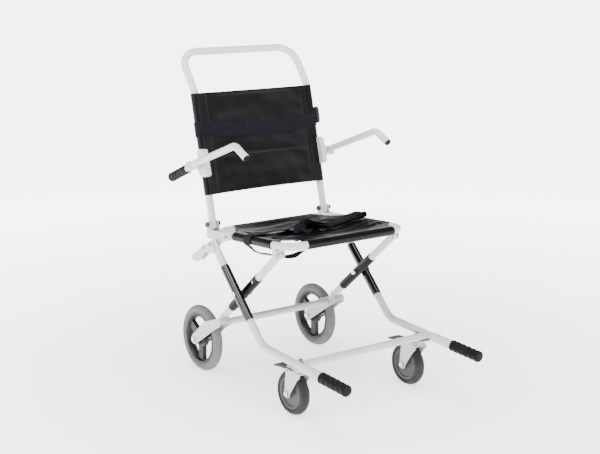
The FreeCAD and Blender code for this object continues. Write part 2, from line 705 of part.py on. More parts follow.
def build_casters():
    """Swivel fork with its head, axle, wheel and brake pedal, on each side."""
    wheel_centre = (SIZE["caster_wheel_y"], SIZE["caster_radius"])
    stem_y = SIZE["caster_stem_y"]
    gap = SIZE["fit_gap"]
    for side, sign in SIDES:
        x_place = f"{sign} * Dimensions.caster_x"
        outline = [
            (stem_y - 22.0, FORK_TOP),
            (stem_y - 22.0, 122.0),
            (stem_y - 8.0, 108.0),
            (wheel_centre[0] - 12.0, 64.0),
            (wheel_centre[0] - 8.0, 53.0),
            (wheel_centre[0], 50.0),
            (wheel_centre[0] + 8.0, 53.0),
            (wheel_centre[0] + 12.0, 64.0),
            (PEDAL_PIN[0] + 8.0, 118.0),
            (PEDAL_PIN[0] + 7.0, FORK_TOP + 3.0),
            (PEDAL_PIN[0] - 6.0, FORK_TOP + 3.0),
            (PEDAL_PIN[0] - 8.0, FORK_TOP),
        ]
        fork = side_plate(f"caster_fork_{side}", x_place, outline, "44 mm")
        hollow = add_sketch(fork, "Hollow")
        inside = [
            (stem_y - 30.0, FORK_TOP - 3.0),
            (stem_y - 30.0, 40.0),
            (wheel_centre[0] + 30.0, 40.0),
            (wheel_centre[0] + 30.0, 140.0),
            (PEDAL_PIN[0] - 7.0, 140.0),
            (PEDAL_PIN[0] - 7.0, FORK_TOP - 3.0),
        ]
        draw_outline(hollow, inside)
        add_pocket(fork, hollow, "38.4 mm")
        head_top = BRACKET_TOP - SIZE["plate"] - 3.1
        head = add_sketch(fork, "Head", "XY_Plane", Placement(Vector(0, 0, FORK_TOP - 0.4), Rotation()))
        draw_circle(head, (0.0, stem_y), "20.5 mm")
        add_pad(fork, head, f"{head_top - FORK_TOP - 3.0} mm", middle=False)
        race = add_sketch(fork, "Race", "XY_Plane", Placement(Vector(0, 0, FORK_TOP), Rotation()))
        draw_circle(race, (0.0, stem_y), "15 mm")
        add_pad(fork, race, f"{head_top - FORK_TOP} mm", middle=False)
        bore = add_sketch(fork, "Bore", "XY_Plane", Placement(Vector(0, 0, FORK_TOP), Rotation()))
        draw_circle(bore, (0.0, stem_y), f"{STEM_RADIUS} + Dimensions.pin_gap")
        add_pocket(fork, bore, "40 mm")
        cross_hole(fork, wheel_centre, f"{CASTER_AXLE_RADIUS + gap} mm")
        cross_hole(fork, PEDAL_PIN, f"{PEDAL_PIN_RADIUS} + Dimensions.pin_gap")

        middle = sign * SIZE["caster_x"]
        reach = 28.0
        axle = pin_shape(wheel_centre, middle - reach, middle + reach, CASTER_AXLE_RADIUS, 7.5, 5.6, 5.6)
        shape_part(f"caster_axle_{side}", [axle])

        spot = wheel_placement(middle, wheel_centre)
        core = SIZE["caster_core_radius"]
        tyre = tyre_profile(SIZE["caster_radius"], core + gap, SIZE["caster_tyre_width"], 9.0)
        turned_part(f"caster_tyre_{side}", spot, tyre)
        bore_radius = CASTER_AXLE_RADIUS + SIZE["pin_gap"]
        half = [(bore_radius, 18.6), (11.0, 18.6), (13.0, 12.0), (16.0, 10.0), (37.0, 10.0)]
        half += [(38.5, 13.0), (core, 13.0)]
        corners = half + [(r, -z) for r, z in reversed(half)]
        turned_part(f"caster_core_{side}", spot, closed_lines(corners))

        pedal_outline = [
            (PEDAL_PIN[0] - 5.0, PEDAL_PIN[1] + 4.6),
            (PEDAL_PIN[0] - 5.0, PEDAL_PIN[1] - 3.6),
            (PEDAL_PIN[0] + 5.0, PEDAL_PIN[1] - 3.9),
            (PEDAL_PIN[0] + 34.0, PEDAL_PIN[1] - 3.9),
            (PEDAL_PIN[0] + 72.0, PEDAL_PIN[1] - 8.0),
            (PEDAL_PIN[0] + 76.0, PEDAL_PIN[1] - 5.0),
            (PEDAL_PIN[0] + 60.0, PEDAL_PIN[1] + 0.5),
            (PEDAL_PIN[0] + 30.0, PEDAL_PIN[1] + 2.5),
        ]
        pedal = side_plate(f"brake_pedal_{side}", x_place, pedal_outline, "31 mm")
        add_cross_pin(pedal, "PedalPin", PEDAL_PIN, f"{PEDAL_PIN_RADIUS} mm", 0.0, 46.0)


# ---- handles and grips ---------------------------------------------------------------------

RIB_COUNT = 5


def build_grip(label, x, start, end_point, bore_radius, length, groove, rib):
    """Ribbed grip with a closed rounded end, on the tube that runs from start to end_point."""
    heading = Vector(0, end_point[0] - start[0], end_point[1] - start[1])
    base = Vector(x, start[0] + SIZE["frame_shift"], start[1])
    spot = Placement(base, Rotation(Vector(0, 0, 1), heading))
    cap = 5.0
    edges = [Part.LineSegment(Vector(bore_radius, 0, 0), Vector(rib, 0, 0))]
    edges.append(Part.LineSegment(Vector(rib, 0, 0), Vector(rib, 3.0, 0)))
    pitch = (length - 3.0 - cap) / RIB_COUNT
    low = Vector(rib, 3.0, 0)
    for _ in range(RIB_COUNT):
        dip = Vector(groove, low.y + pitch * 0.32, 0)
        step = Vector(rib, low.y + pitch * 0.64, 0)
        high = Vector(rib, low.y + pitch, 0)
        edges.append(Part.Arc(low, dip, step))
        edges.append(Part.LineSegment(step, high))
        low = high
    crown = Vector(rib * 0.72, length - cap * 0.28, 0)
    top = Vector(0, length, 0)
    edges.append(Part.Arc(low, Vector(rib * 0.94, length - cap * 0.62, 0), crown))
    edges.append(Part.LineSegment(crown, top))
    edges.append(Part.LineSegment(top, Vector(0, length - cap, 0)))
    edges.append(Part.LineSegment(Vector(0, length - cap, 0), Vector(bore_radius, length - cap, 0)))
    edges.append(Part.LineSegment(Vector(bore_radius, length - cap, 0), Vector(bore_radius, 0, 0)))
    return turned_part(label, spot, edges)


def build_front_handles():
    """Telescopic carrying handle on the level end of each front leg."""
    for side, sign in SIDES:
        x_place = f"{sign} * Dimensions.front_leg_x"
        reach = LEG_BEND[0] - SIZE["handle_back_y"]
        start = along(LEG_BEND, LEG_FRONT, reach)
        grip_reach = LEG_BEND[0] - SIZE["grip_start_y"]
        grip_start = along(LEG_BEND, LEG_FRONT, grip_reach)
        end = along(LEG_BEND, LEG_FRONT, grip_reach + SIZE["grip_length"] - 7.0)
        outer = "Dimensions.handle_diameter / 2"
        inner = "Dimensions.tube_diameter / 2 + Dimensions.slide_gap"
        straight_sleeve(f"front_handle_tube_{side}", x_place, start, end, outer, inner)
        x = sign * SIZE["front_leg_x"]
        shape = (SIZE["grip_bore"], SIZE["grip_length"], SIZE["grip_groove"], SIZE["grip_rib"])
        build_grip(f"front_grip_{side}", x, grip_start, end, *shape)


# ---- seat ----------------------------------------------------------------------------------

SEAT_REAR = place("seat_rear")
SEAT_FRONT = place("seat_front")
BACK_HINGE = place("back_hinge")
SEAT_DEPTH = math.hypot(SEAT_REAR[0] - SEAT_FRONT[0], SEAT_REAR[1] - SEAT_FRONT[1])
SEAT_TILT = math.degrees(math.atan2(SEAT_REAR[1] - SEAT_FRONT[1], SEAT_REAR[0] - SEAT_FRONT[0]))
SEAT_SPOT = Placement(
    Vector(0, SEAT_REAR[0] + SIZE["frame_shift"], SEAT_REAR[1]),
    Rotation(Vector(1, 0, 0), SEAT_TILT),
)


def seat_body(label):
    """Start a body in the seat's own plane: origin on the rear rail, Y towards the back."""
    body = doc.addObject("PartDesign::Body", "Body_" + label)
    body.Placement = SEAT_SPOT
    return keep(body, label)


def rail_height(y):
    """Return the height of the seat rail's axis at a place along the chair."""
    share = (y - SEAT_FRONT[0]) / (SEAT_REAR[0] - SEAT_FRONT[0])
    return SEAT_FRONT[1] + share * (SEAT_REAR[1] - SEAT_FRONT[1])


def build_seat_frame():
    """Closed rounded rectangle of tube."""
    body = seat_body("seat_frame")
    half = SIZE["seat_x"]
    corners = [
        Vector(-half, 0, 0),
        Vector(half, 0, 0),
        Vector(half, -SEAT_DEPTH, 0),
        Vector(-half, -SEAT_DEPTH, 0),
    ]
    add_bent_tube(body, corners, SIZE["seat_corner"], TUBE_OUTER, TUBE_INNER, closed=True)


SIDE_HEM_REAR = -106.0
SIDE_HEM_FRONT = -297.0
REAR_HEM_HALF = 143.0
FRONT_HEM_LEFT = 159.0
FRONT_HEM_RIGHT = 143.0


def build_seat_sling():
    """Sling: a flat web with a hem round each of the four rails, cut out at the corners."""
    body = seat_body("seat_sling")
    half = SIZE["seat_x"]
    inner = SIZE["tube_diameter"] / 2 + SIZE["sling_gap"]
    offset = Placement(Vector(0, 0, inner), Rotation())
    web = add_sketch(body, "Web", "XY_Plane", offset)
    corners = [
        (REAR_HEM_HALF, 0.0),
        (half, SIDE_HEM_REAR),
        (half, SIDE_HEM_FRONT),
        (FRONT_HEM_LEFT, -SEAT_DEPTH),
        (-FRONT_HEM_RIGHT, -SEAT_DEPTH),
        (-half, SIDE_HEM_FRONT),
        (-half, SIDE_HEM_REAR),
        (-REAR_HEM_HALF, 0.0),
    ]
    draw_outline(web, corners)
    add_pad(body, web, "Dimensions.sling_wall", middle=False)
    outer_radius = "Dimensions.tube_diameter / 2 + Dimensions.sling_gap + Dimensions.sling_wall"
    inner_radius = "Dimensions.tube_diameter / 2 + Dimensions.sling_gap"
    for sign in (1, -1):
        side = Placement(Vector(0, 0, -(SIDE_HEM_REAR + SIDE_HEM_FRONT) / 2), Rotation())
        hem = add_sketch(body, f"SideHem{sign + 1}", "XZ_Plane", side)
        draw_circle(hem, (sign * half, 0.0), outer_radius)
        draw_circle(hem, (sign * half, 0.0), inner_radius)
        add_pad(body, hem, f"{SIDE_HEM_REAR - SIDE_HEM_FRONT} mm")
    ends = [
        ("RearHem", 0.0, REAR_HEM_HALF, REAR_HEM_HALF),
        ("FrontHem", -SEAT_DEPTH, FRONT_HEM_LEFT, FRONT_HEM_RIGHT),
    ]
    for name, y, left, right in ends:
        hem = add_sketch(body, name, "YZ_Plane", Placement(Vector(0, 0, (left - right) / 2), Rotation()))
        draw_circle(hem, (y, 0.0), outer_radius)
        draw_circle(hem, (y, 0.0), inner_radius)
        add_pad(body, hem, f"{left + right} mm")


LUG_RADIUS = 10.0


def build_seat_castings():
    """Rear corner casting: block behind the corner, hinge lugs, and the cheek with its hook."""
    for side, sign in SIDES:
        x_place = f"{sign} * Dimensions.back_x"
        low = (BACK_HINGE[0] - LUG_RADIUS, BACK_HINGE[1])
        outline = [
            (247.5, 424.0),
            (272.0, 420.0),
            (273.0, 440.0),
            (BACK_HINGE[0] + LUG_RADIUS, BACK_HINGE[1]),
            (BACK_HINGE[0] + 7.0, BACK_HINGE[1] + 7.0),
            (BACK_HINGE[0], BACK_HINGE[1] + LUG_RADIUS),
            (BACK_HINGE[0] - 7.0, BACK_HINGE[1] + 7.0),
            low,
            (247.5, 447.0),
        ]
        casting = side_plate(f"seat_casting_{side}", x_place, outline, "28.8 mm")
        slot = add_sketch(casting, "Slot")
        opening = [(230.0, 442.0), (280.0, 442.0), (300.0, 480.0), (230.0, 480.0)]
        draw_outline(slot, opening)
        add_pocket(casting, slot, "Dimensions.tube_diameter + 1")
        cheek_x = SIZE["seat_x"] + SIZE["tube_diameter"] / 2 + 1.2 - SIZE["back_x"]
        offset = Placement(Vector(0, 0, sign * cheek_x), Rotation())
        cheek = add_sketch(casting, "Cheek", "YZ_Plane", offset)
        pin = LEG_TOP
        hook = 4.7
        corners = [
            (272.0, 420.0),
            (268.0, 450.0),
            (248.0, 447.0),
            (230.0, 446.0),
            (152.0, 450.0),
            (143.0, 446.0),
            (143.0, 434.0),
            (180.0, 424.0),
            (pin[0] - 15.0, pin[1] - 2.0),
            (pin[0] - 10.0, pin[1] - 9.0),
            (pin[0] - hook - 2.0, pin[1] - 8.0),
            (pin[0] - hook, pin[1]),
            (pin[0] - hook * 0.7, pin[1] + hook * 0.7),
            (pin[0], pin[1] + hook),
            (pin[0] + hook * 0.7, pin[1] + hook * 0.7),
            (pin[0] + hook, pin[1]),
            (pin[0] + hook + 2.0, pin[1] - 6.0),
            (pin[0] + 13.0, pin[1] - 2.0),
            (pin[0] + 18.0, pin[1] + 6.0),
        ]
        draw_outline(cheek, corners)
        add_pad(casting, cheek, "2 mm")
        cross_hole(casting, BACK_HINGE, PIN_HOLE)


def build_seat_fittings():
    """Front clevises with their pins, and the backrest hinge bolts with round knobs."""
    clevises = []
    bolts = []
    rear_leg = SIZE["rear_leg_x"]
    gap = 0.7
    plate = 2.5
    inside = SIZE["tube_diameter"] / 2 + gap
    hinge = SEAT_HINGE
    for _, sign in SIDES:
        under = rail_height(hinge[0]) - SIZE["tube_diameter"] / 2 - 0.3
        corners = [
            (hinge[0] - 10.0, under),
            (hinge[0] + 10.0, under - 1.2),
            (hinge[0] + 8.5, hinge[1] - 3.0),
            (hinge[0] + 3.5, hinge[1] - 8.5),
            (hinge[0] - 3.5, hinge[1] - 8.5),
            (hinge[0] - 8.5, hinge[1] - 3.0),
        ]
        points = [Vector(rear_leg - inside - plate, y, z) for y, z in corners]
        block = Part.Face(Part.makePolygon(points + points[:1])).extrude(Vector(2 * (inside + plate), 0, 0))
        slot_height = under - 3.6 - (hinge[1] - 20.0)
        base = Vector(rear_leg - inside, hinge[0] - 30.0, hinge[1] - 20.0)
        slot = Part.makeBox(2 * inside, 60.0, slot_height, base)
        pin = pin_shape(hinge, rear_leg - 17.5, rear_leg + 17.0, SIZE["pin_radius"], 6.5, 3.2, 2.6)
        clevis = block.cut(slot).fuse(pin).removeSplitter()
        back = SIZE["back_x"]
        bolt = pin_shape(BACK_HINGE, back - 27.0, back + 26.0, SIZE["pin_radius"], 8.0, 9.0, 8.0)
        for solid, group in ((clevis, clevises), (bolt, bolts)):
            group.append(solid if sign > 0 else solid.mirror(Vector(0, 0, 0), Vector(1, 0, 0)))
    shape_part("seat_clevises", clevises)
    shape_part("back_hinge_bolts", bolts)


BELT_WIDTH = 36.0
BELT_THICKNESS = 3.0
BELT_OVER_HEM = 181.0


def webbing_run(spots, width, thickness):
    """Return a band of webbing lofted through (x, y, z) spots, its width lying along X."""
    sections = []
    count = len(spots)
    for index, (x, y, z) in enumerate(spots):
        before = spots[max(index - 1, 0)]
        after = spots[min(index + 1, count - 1)]
        length = math.hypot(after[1] - before[1], after[2] - before[2])
        rise = thickness / 2 * (after[2] - before[2]) / length
        run = thickness / 2 * (after[1] - before[1]) / length
        corners = [
            Vector(x - width / 2, y - rise, z + run),
            Vector(x + width / 2, y - rise, z + run),
            Vector(x + width / 2, y + rise, z - run),
            Vector(x - width / 2, y + rise, z - run),
        ]
        sections.append(Part.makePolygon(corners + corners[:1]))
    return Part.makeLoft(sections, True, True)


def build_lap_belt():
    """Lap belt: a band across the sling with its folded heap, and the loop that hangs below."""
    top = SIZE["tube_diameter"] / 2 + SIZE["sling_gap"] + SIZE["sling_wall"] + 0.3
    body = seat_body("lap_belt")
    band = add_sketch(body, "Band", "XY_Plane", Placement(Vector(0, 0, top), Rotation()))
    corners = [
        (-205.0, -160.0),
        (-205.0, -198.0),
        (-160.0, -178.0),
        (-60.0, -188.0),
        (204.0, -215.0),
        (204.0, -150.0),
        (-60.0, -140.0),
        (-160.0, -140.0),
    ]
    draw_outline(band, corners)
    add_pad(body, band, f"{BELT_THICKNESS} mm", middle=False)
    heaps = [
        ("Knot", 15.0, [(-60.0, -120.0), (-64.0, -180.0), (20.0, -200.0), (30.0, -140.0)]),
        ("Fold", 17.0, [(40.0, -150.0), (30.0, -235.0), (200.0, -225.0), (206.0, -128.0)]),
    ]
    for name, height, outline in heaps:
        heap = add_sketch(body, name, "XY_Plane", Placement(Vector(0, 0, top + 1.0), Rotation()))
        draw_outline(heap, outline)
        add_pad(body, heap, f"{height} mm", middle=False)
    middle = Placement(Vector(0, 0, BELT_OVER_HEM), Rotation())
    over = add_sketch(body, "OverHem", "XZ_Plane", middle)
    inner = top - 0.1
    outer = top + 0.9
    rail = Vector(-SIZE["seat_x"], 0, 0)
    rest = math.radians(218)
    tip = Vector(math.cos(rest), math.sin(rest), 0)
    outside = [rail + Vector(0, outer, 0), rail - Vector(outer, 0, 0), rail + tip * outer]
    inside = [rail + tip * inner, rail - Vector(inner, 0, 0), rail + Vector(0, inner, 0)]
    over.addGeometry(Part.Arc(*outside), False)
    over.addGeometry(Part.LineSegment(outside[2], inside[0]), False)
    over.addGeometry(Part.Arc(*inside), False)
    over.addGeometry(Part.LineSegment(inside[2], outside[0]), False)
    add_pad(body, over, f"{BELT_WIDTH} mm")

    spots = [
        (-194.0, 62.0, 431.0),
        (-190.0, 35.0, 414.5),
        (-182.0, 17.0, 413.5),
        (-175.0, -8.0, 415.0),
        (-167.0, -48.0, 419.0),
        (-159.0, -70.0, 422.5),
        (-148.0, -92.0, 431.0),
        (-136.0, -109.0, 443.0),
    ]
    shape_part("lap_belt_loop", [webbing_run(spots, 26.0, BELT_THICKNESS)])


# ---- backrest ------------------------------------------------------------------------------

BACK_BEND = place("back_bend")
BACK_TOP = place("back_top")
ARM_PIVOT = place("arm_pivot")


def build_back_frame():
    """Bent U of tube: two side tubes that lean back above the sling, joined by the push bar."""
    half = SIZE["back_x"]
    foot = along(BACK_HINGE, BACK_BEND, -13.0)
    side = [foot, BACK_BEND, BACK_TOP]
    corners = [Vector(-half, y, z) for y, z in side] + [Vector(half, y, z) for y, z in reversed(side)]
    bends = {1: SIZE["back_bend_radius"], 2: SIZE["back_corner"]}
    bends.update({4: SIZE["back_bend_radius"], 3: SIZE["back_corner"]})
    path = Part.Wire([edge.toShape() for edge in rounded_run(corners, bends)])
    spine = doc.addObject("Part::Feature", "BackSpine")
    spine.Shape = path
    heading = corners[1] - corners[0]
    spot = Placement(corners[0], Rotation(Vector(0, 0, 1), heading))
    tubes = []
    for name, expression in (("BackOuter", TUBE_OUTER), ("BackInner", TUBE_INNER)):
        ring = doc.addObject("Part::Circle", name + "Ring")
        ring.setExpression("Radius", expression)
        ring.Placement = spot
        sweep = doc.addObject("Part::Sweep", name)
        sweep.Sections = [ring]
        sweep.Spine = (spine, [f"Edge{number + 1}" for number in range(len(path.Edges))])
        sweep.Solid = True
        sweep.Frenet = False
        tubes.append(sweep)
    hollow = doc.addObject("Part::Cut", "BackTube")
    hollow.Base = tubes[0]
    hollow.Tool = tubes[1]
    drill = doc.addObject("Part::Cylinder", "BackHingeDrill")
    drill.setExpression("Radius", PIN_HOLE)
    drill.Height = 3 * half
    across = Rotation(Vector(0, 0, 1), Vector(1, 0, 0))
    drill.Placement = Placement(Vector(-1.5 * half, BACK_HINGE[0], BACK_HINGE[1]), across)
    frame = doc.addObject("Part::Cut", "BackFrame")
    frame.Base = hollow
    frame.Tool = drill
    frame.setExpression("Placement.Base.y", "Dimensions.frame_shift")
    keep(frame, "backrest_frame")


def back_band(label, low, high):
    """Start a band across the backrest: return its body, its section's sketch and its height."""
    body = doc.addObject("PartDesign::Body", "Body_" + label)
    keep(body, label)
    rise = (BACK_BEND[0] - BACK_HINGE[0]) / (BACK_BEND[1] - BACK_HINGE[1])
    start = (BACK_HINGE[0] + (low - BACK_HINGE[1]) * rise, low)
    end = (BACK_HINGE[0] + (high - BACK_HINGE[1]) * rise, high)
    lean = math.degrees(math.atan2(end[0] - start[0], end[1] - start[1]))
    spot = Vector(0, start[0] + SIZE["frame_shift"], start[1])
    body.Placement = Placement(spot, Rotation(Vector(1, 0, 0), -lean))
    return body, add_sketch(body, "Section", "XY_Plane"), math.hypot(end[0] - start[0], end[1] - start[1])


def build_back_sling(inner, outer):
    """Back sling: a flat front with a closed hem round each side tube."""
    half = SIZE["back_x"]
    inset = math.sqrt(outer * outer - inner * inner)
    body, sketch, length = back_band("backrest_sling", SIZE["back_sling_low"], SIZE["back_sling_high"])
    sketch.addGeometry(Part.LineSegment(Vector(-half, -outer, 0), Vector(half, -outer, 0)), False)
    right = [Vector(half, -outer, 0), Vector(half, outer, 0), Vector(half - inset, -inner, 0)]
    sketch.addGeometry(Part.Arc(*right), False)
    left = [Vector(inset - half, -inner, 0), Vector(-half, outer, 0), Vector(-half, -outer, 0)]
    sketch.addGeometry(Part.LineSegment(right[2], left[0]), False)
    sketch.addGeometry(Part.Arc(*left), False)
    for sign in (1, -1):
        draw_circle(sketch, (sign * half, 0.0), f"{inner} mm")
    add_pad(body, sketch, f"{length} mm", middle=False)


def build_chest_strap(inner, outer, stop):
    """Chest strap: over the sling's front, round each side tube, and back to the sling inside."""
    half = SIZE["back_x"]
    body, sketch, length = back_band("chest_strap", SIZE["strap_low"], SIZE["strap_high"])
    outer_end = math.sqrt(outer * outer - stop * stop)
    inner_end = math.sqrt(inner * inner - stop * stop)
    for sign in (1, -1):
        outer_stop = Vector(sign * (half - outer_end), -stop, 0)
        inner_stop = Vector(sign * (half - inner_end), -stop, 0)
        outer_middle = Vector(sign * (half + outer), 0, 0)
        inner_middle = Vector(sign * (half + inner), 0, 0)
        front = Vector(sign * half, -outer, 0)
        behind = Vector(sign * half, -inner, 0)
        sketch.addGeometry(Part.Arc(front, outer_middle, outer_stop), False)
        sketch.addGeometry(Part.LineSegment(outer_stop, inner_stop), False)
        sketch.addGeometry(Part.Arc(inner_stop, inner_middle, behind), False)
    sketch.addGeometry(Part.LineSegment(Vector(-half, -outer, 0), Vector(half, -outer, 0)), False)
    sketch.addGeometry(Part.LineSegment(Vector(-half, -inner, 0), Vector(half, -inner, 0)), False)
    add_pad(body, sketch, f"{length} mm", middle=False)
    return body


def build_back_bands():
    """Back sling, the chest strap over it, and the strap's buckle on the left."""
    inner = SIZE["tube_diameter"] / 2 + SIZE["sling_gap"]
    outer = inner + SIZE["sling_wall"]
    build_back_sling(inner, outer)
    strap_inner = outer + 0.6
    strap_outer = strap_inner + 1.6
    strap = build_chest_strap(strap_inner, strap_outer, inner - 0.4)
    body = doc.addObject("PartDesign::Body", "Body_chest_buckle")
    keep(body, "chest_buckle")
    body.Placement = strap.Placement
    middle = SIZE["back_x"] + strap_outer + 5.4
    face = add_sketch(body, "Face", "YZ_Plane", Placement(Vector(0, 0, middle), Rotation()))
    corners = [(-14.0, 12.0), (-10.0, 8.0), (10.0, 8.0), (14.0, 12.0)]
    corners += [(14.0, 54.0), (10.0, 58.0), (-10.0, 58.0), (-14.0, 54.0)]
    draw_outline(face, corners)
    add_pad(body, face, "10 mm")


BRACKET_INNER = 13.3


def build_arm_brackets():
    """Bracket that wraps the outside of each back tube, with the arm's pivot and stop pin."""
    rise = (BACK_BEND[0] - BACK_HINGE[0]) / (BACK_BEND[1] - BACK_HINGE[1])
    for side, sign in SIDES:
        x_place = f"{sign} * Dimensions.back_x"
        body = new_body(f"arm_bracket_{side}", x_place)
        outline = add_sketch(body, "Outline", offset=Placement(Vector(0, 0, sign * 8.3), Rotation()))
        corners = [
            (264.0, 604.0),
            (274.0, 597.0),
            (300.0, 597.0),
            (314.0, 612.0),
            (312.0, 640.0),
            (318.0, 668.0),
            (308.0, 675.0),
            (284.0, 675.0),
        ]
        draw_outline(outline, corners)
        add_pad(body, outline, "15.4 mm")
        centre = (BACK_HINGE[0] + (633.0 - BACK_HINGE[1]) * rise, 633.0)
        heading = Vector(0, BACK_BEND[0] - BACK_HINGE[0], BACK_BEND[1] - BACK_HINGE[1])
        spot = Placement(Vector(0, centre[0], centre[1]), Rotation(Vector(0, 0, 1), heading))
        bore = add_sketch(body, "Bore", "XY_Plane", spot)
        draw_circle(bore, (0.0, 0.0), f"{BRACKET_INNER} mm")
        add_pocket(body, bore, "200 mm")
        face_x = 16.0
        barrel_x = SIZE["handle_x"] - SIZE["back_x"] - SIZE["arm_diameter"] / 2 - 1.1
        boss_length = barrel_x - face_x + 1.0
        boss_middle = sign * (face_x - 1.0 + boss_length / 2)
        add_cross_pin(body, "Boss", ARM_PIVOT, "10 mm", boss_middle, boss_length)
        pin_end = SIZE["arm_x"] - SIZE["back_x"] + 15.0
        pin_length = pin_end - face_x + 1.0
        pin_middle = sign * (pin_end - pin_length / 2)
        add_cross_pin(body, "Pivot", ARM_PIVOT, "Dimensions.pin_radius", pin_middle, pin_length)
        add_cross_pin(body, "Head", ARM_PIVOT, "7 mm", sign * (pin_end - 1.1), 2.2)
        stop = (268.0, 627.0)
        stop_end = SIZE["arm_x"] - SIZE["back_x"] - 2.0
        stop_length = stop_end - face_x + 2.0
        add_cross_pin(body, "Stop", stop, "4.6 mm", sign * (stop_end - stop_length / 2), stop_length)


# ---- armrests ------------------------------------------------------------------------------

ARM_ELBOW = place("arm_elbow")
ARM_END = place("arm_end")
REAR_GRIP = place("rear_grip")
BARREL_RADIUS = 12.0


def build_arms():
    """Cane-shaped armrest that turns about its rear end, with a rear handle and its grip."""
    outer = "Dimensions.arm_diameter / 2"
    inner = "Dimensions.arm_diameter / 2 - Dimensions.tube_wall"
    for side, sign in SIDES:
        x_place = f"{sign} * Dimensions.arm_x"
        start = along(ARM_PIVOT, ARM_ELBOW, 9.0)
        run = [ARM_END, ARM_ELBOW, start]
        arm = side_tube(f"arm_tube_{side}", x_place, run, SIZE["arm_bend_radius"], outer, inner)
        barrel_low = SIZE["handle_x"] - SIZE["arm_diameter"] / 2 - 0.5
        barrel_high = SIZE["arm_x"] + SIZE["arm_diameter"] / 2 + 2.4
        middle = sign * ((barrel_low + barrel_high) / 2 - SIZE["arm_x"])
        barrel_length = barrel_high - barrel_low
        add_cross_pin(arm, "Barrel", ARM_PIVOT, f"{BARREL_RADIUS} mm", middle, barrel_length)
        length = SIZE["rear_grip_length"]
        far = along(REAR_GRIP, ARM_PIVOT, -(length - 8.0))
        near = along(ARM_PIVOT, REAR_GRIP, 8.0)
        heading = Vector(0, far[0] - near[0], far[1] - near[1])
        inboard = sign * (SIZE["handle_x"] - SIZE["arm_x"])
        spot = Placement(Vector(inboard, near[0], near[1]), Rotation(Vector(0, 0, 1), heading))
        stub = add_sketch(arm, "Stub", "XY_Plane", spot)
        draw_circle(stub, (0.0, 0.0), outer)
        add_pad(arm, stub, f"{heading.Length} mm", middle=False)
        cross_hole(arm, ARM_PIVOT, PIN_HOLE)
        x = sign * SIZE["handle_x"]
        bore = SIZE["arm_diameter"] / 2 + SIZE["fit_gap"]
        shape = (bore, length, SIZE["rear_grip_groove"], SIZE["rear_grip_rib"])
        build_grip(f"rear_grip_{side}", x, REAR_GRIP, far, *shape)

        plug = new_body(f"arm_plug_{side}", x_place)
        heading = Vector(0, ARM_ELBOW[0] - ARM_END[0], ARM_ELBOW[1] - ARM_END[1])
        turn = Rotation(Vector(0, 0, 1), heading)
        face = along(ARM_END, ARM_ELBOW, -0.1)
        shank = add_sketch(plug, "Shank", "XY_Plane", Placement(Vector(0, face[0], face[1]), turn))
        draw_circle(shank, (0.0, 0.0), inner + " - Dimensions.fit_gap")
        add_pad(plug, shank, "11 mm", middle=False)
        tip = along(ARM_END, ARM_ELBOW, -1.7)
        cap = add_sketch(plug, "Cap", "XY_Plane", Placement(Vector(0, tip[0], tip[1]), turn))
        draw_circle(cap, (0.0, 0.0), outer + " - 0.4")
        add_pad(plug, cap, "1.6 mm", middle=False)


# ---- the whole chair -----------------------------------------------------------------------

build_front_frame()
build_caster_mounts()
build_front_bolts()
build_latches()
build_rear_frame()
build_forks()
build_rear_wheels()
build_casters()
build_front_handles()
build_seat_frame()
build_seat_sling()
build_seat_castings()
build_seat_fittings()
build_lap_belt()
build_back_frame()
build_back_bands()
build_arm_brackets()
build_arms()
doc.recompute()

for item in doc.Objects:
    if "Invalid" in item.State or "Error" in item.State:
        raise RuntimeError(f"{item.Label} did not recompute: {item.State}")
os.makedirs("parts", exist_ok=True)
for piece in SUBPARTS:
    if piece.Shape.isNull() or not piece.Shape.isValid():
        raise RuntimeError(f"{piece.Label} has no valid shape")
    piece.Shape.exportStep(os.path.join("parts", piece.Label + ".step"))
print(len(SUBPARTS), "sub-parts written")
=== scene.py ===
import json
import math

import bmesh
import bpy
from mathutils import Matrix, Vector, noise
from mathutils.bvhtree import BVHTree


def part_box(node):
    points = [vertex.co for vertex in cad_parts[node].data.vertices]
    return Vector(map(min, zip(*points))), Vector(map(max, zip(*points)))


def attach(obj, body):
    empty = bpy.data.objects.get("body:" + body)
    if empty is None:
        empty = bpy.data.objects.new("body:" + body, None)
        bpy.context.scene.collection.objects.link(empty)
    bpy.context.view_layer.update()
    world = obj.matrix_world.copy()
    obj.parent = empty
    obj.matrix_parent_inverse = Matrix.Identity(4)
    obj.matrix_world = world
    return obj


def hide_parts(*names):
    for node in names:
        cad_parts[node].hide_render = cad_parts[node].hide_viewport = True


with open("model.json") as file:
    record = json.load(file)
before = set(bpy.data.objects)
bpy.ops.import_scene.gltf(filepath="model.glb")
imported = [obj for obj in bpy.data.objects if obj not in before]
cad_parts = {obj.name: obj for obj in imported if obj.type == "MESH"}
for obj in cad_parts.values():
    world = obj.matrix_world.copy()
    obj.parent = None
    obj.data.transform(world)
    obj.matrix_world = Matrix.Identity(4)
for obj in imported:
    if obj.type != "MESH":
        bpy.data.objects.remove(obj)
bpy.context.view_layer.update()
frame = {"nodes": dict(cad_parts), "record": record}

# ---- places and sizes, in metres, in the frame's own axes --------------------------------------


def joint_place(name):
    """Return a joint's place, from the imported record."""
    for joint in frame["record"]["behaviour"]["joints"]:
        if joint["name"] == name:
            return Vector(joint["pos_m"])
    raise KeyError(name)


TUBE_RADIUS = 0.011
# The slings' thickness, and the radius of their middle surface where they go round a tube.
CLOTH = 0.0012
WRAP_RADIUS = 0.012
# The webbing's thickness.
BELT = 0.0015
# The back tubes: their hinge, how far they go back in their straight rise, and their place across.
BACK_HINGE = joint_place("back_fold")
BACK_SETBACK = 0.091
BACK_RISE = 0.379
BACK_LEAN = math.atan2(BACK_SETBACK, BACK_RISE)
BACK_TUBE_X = 0.202
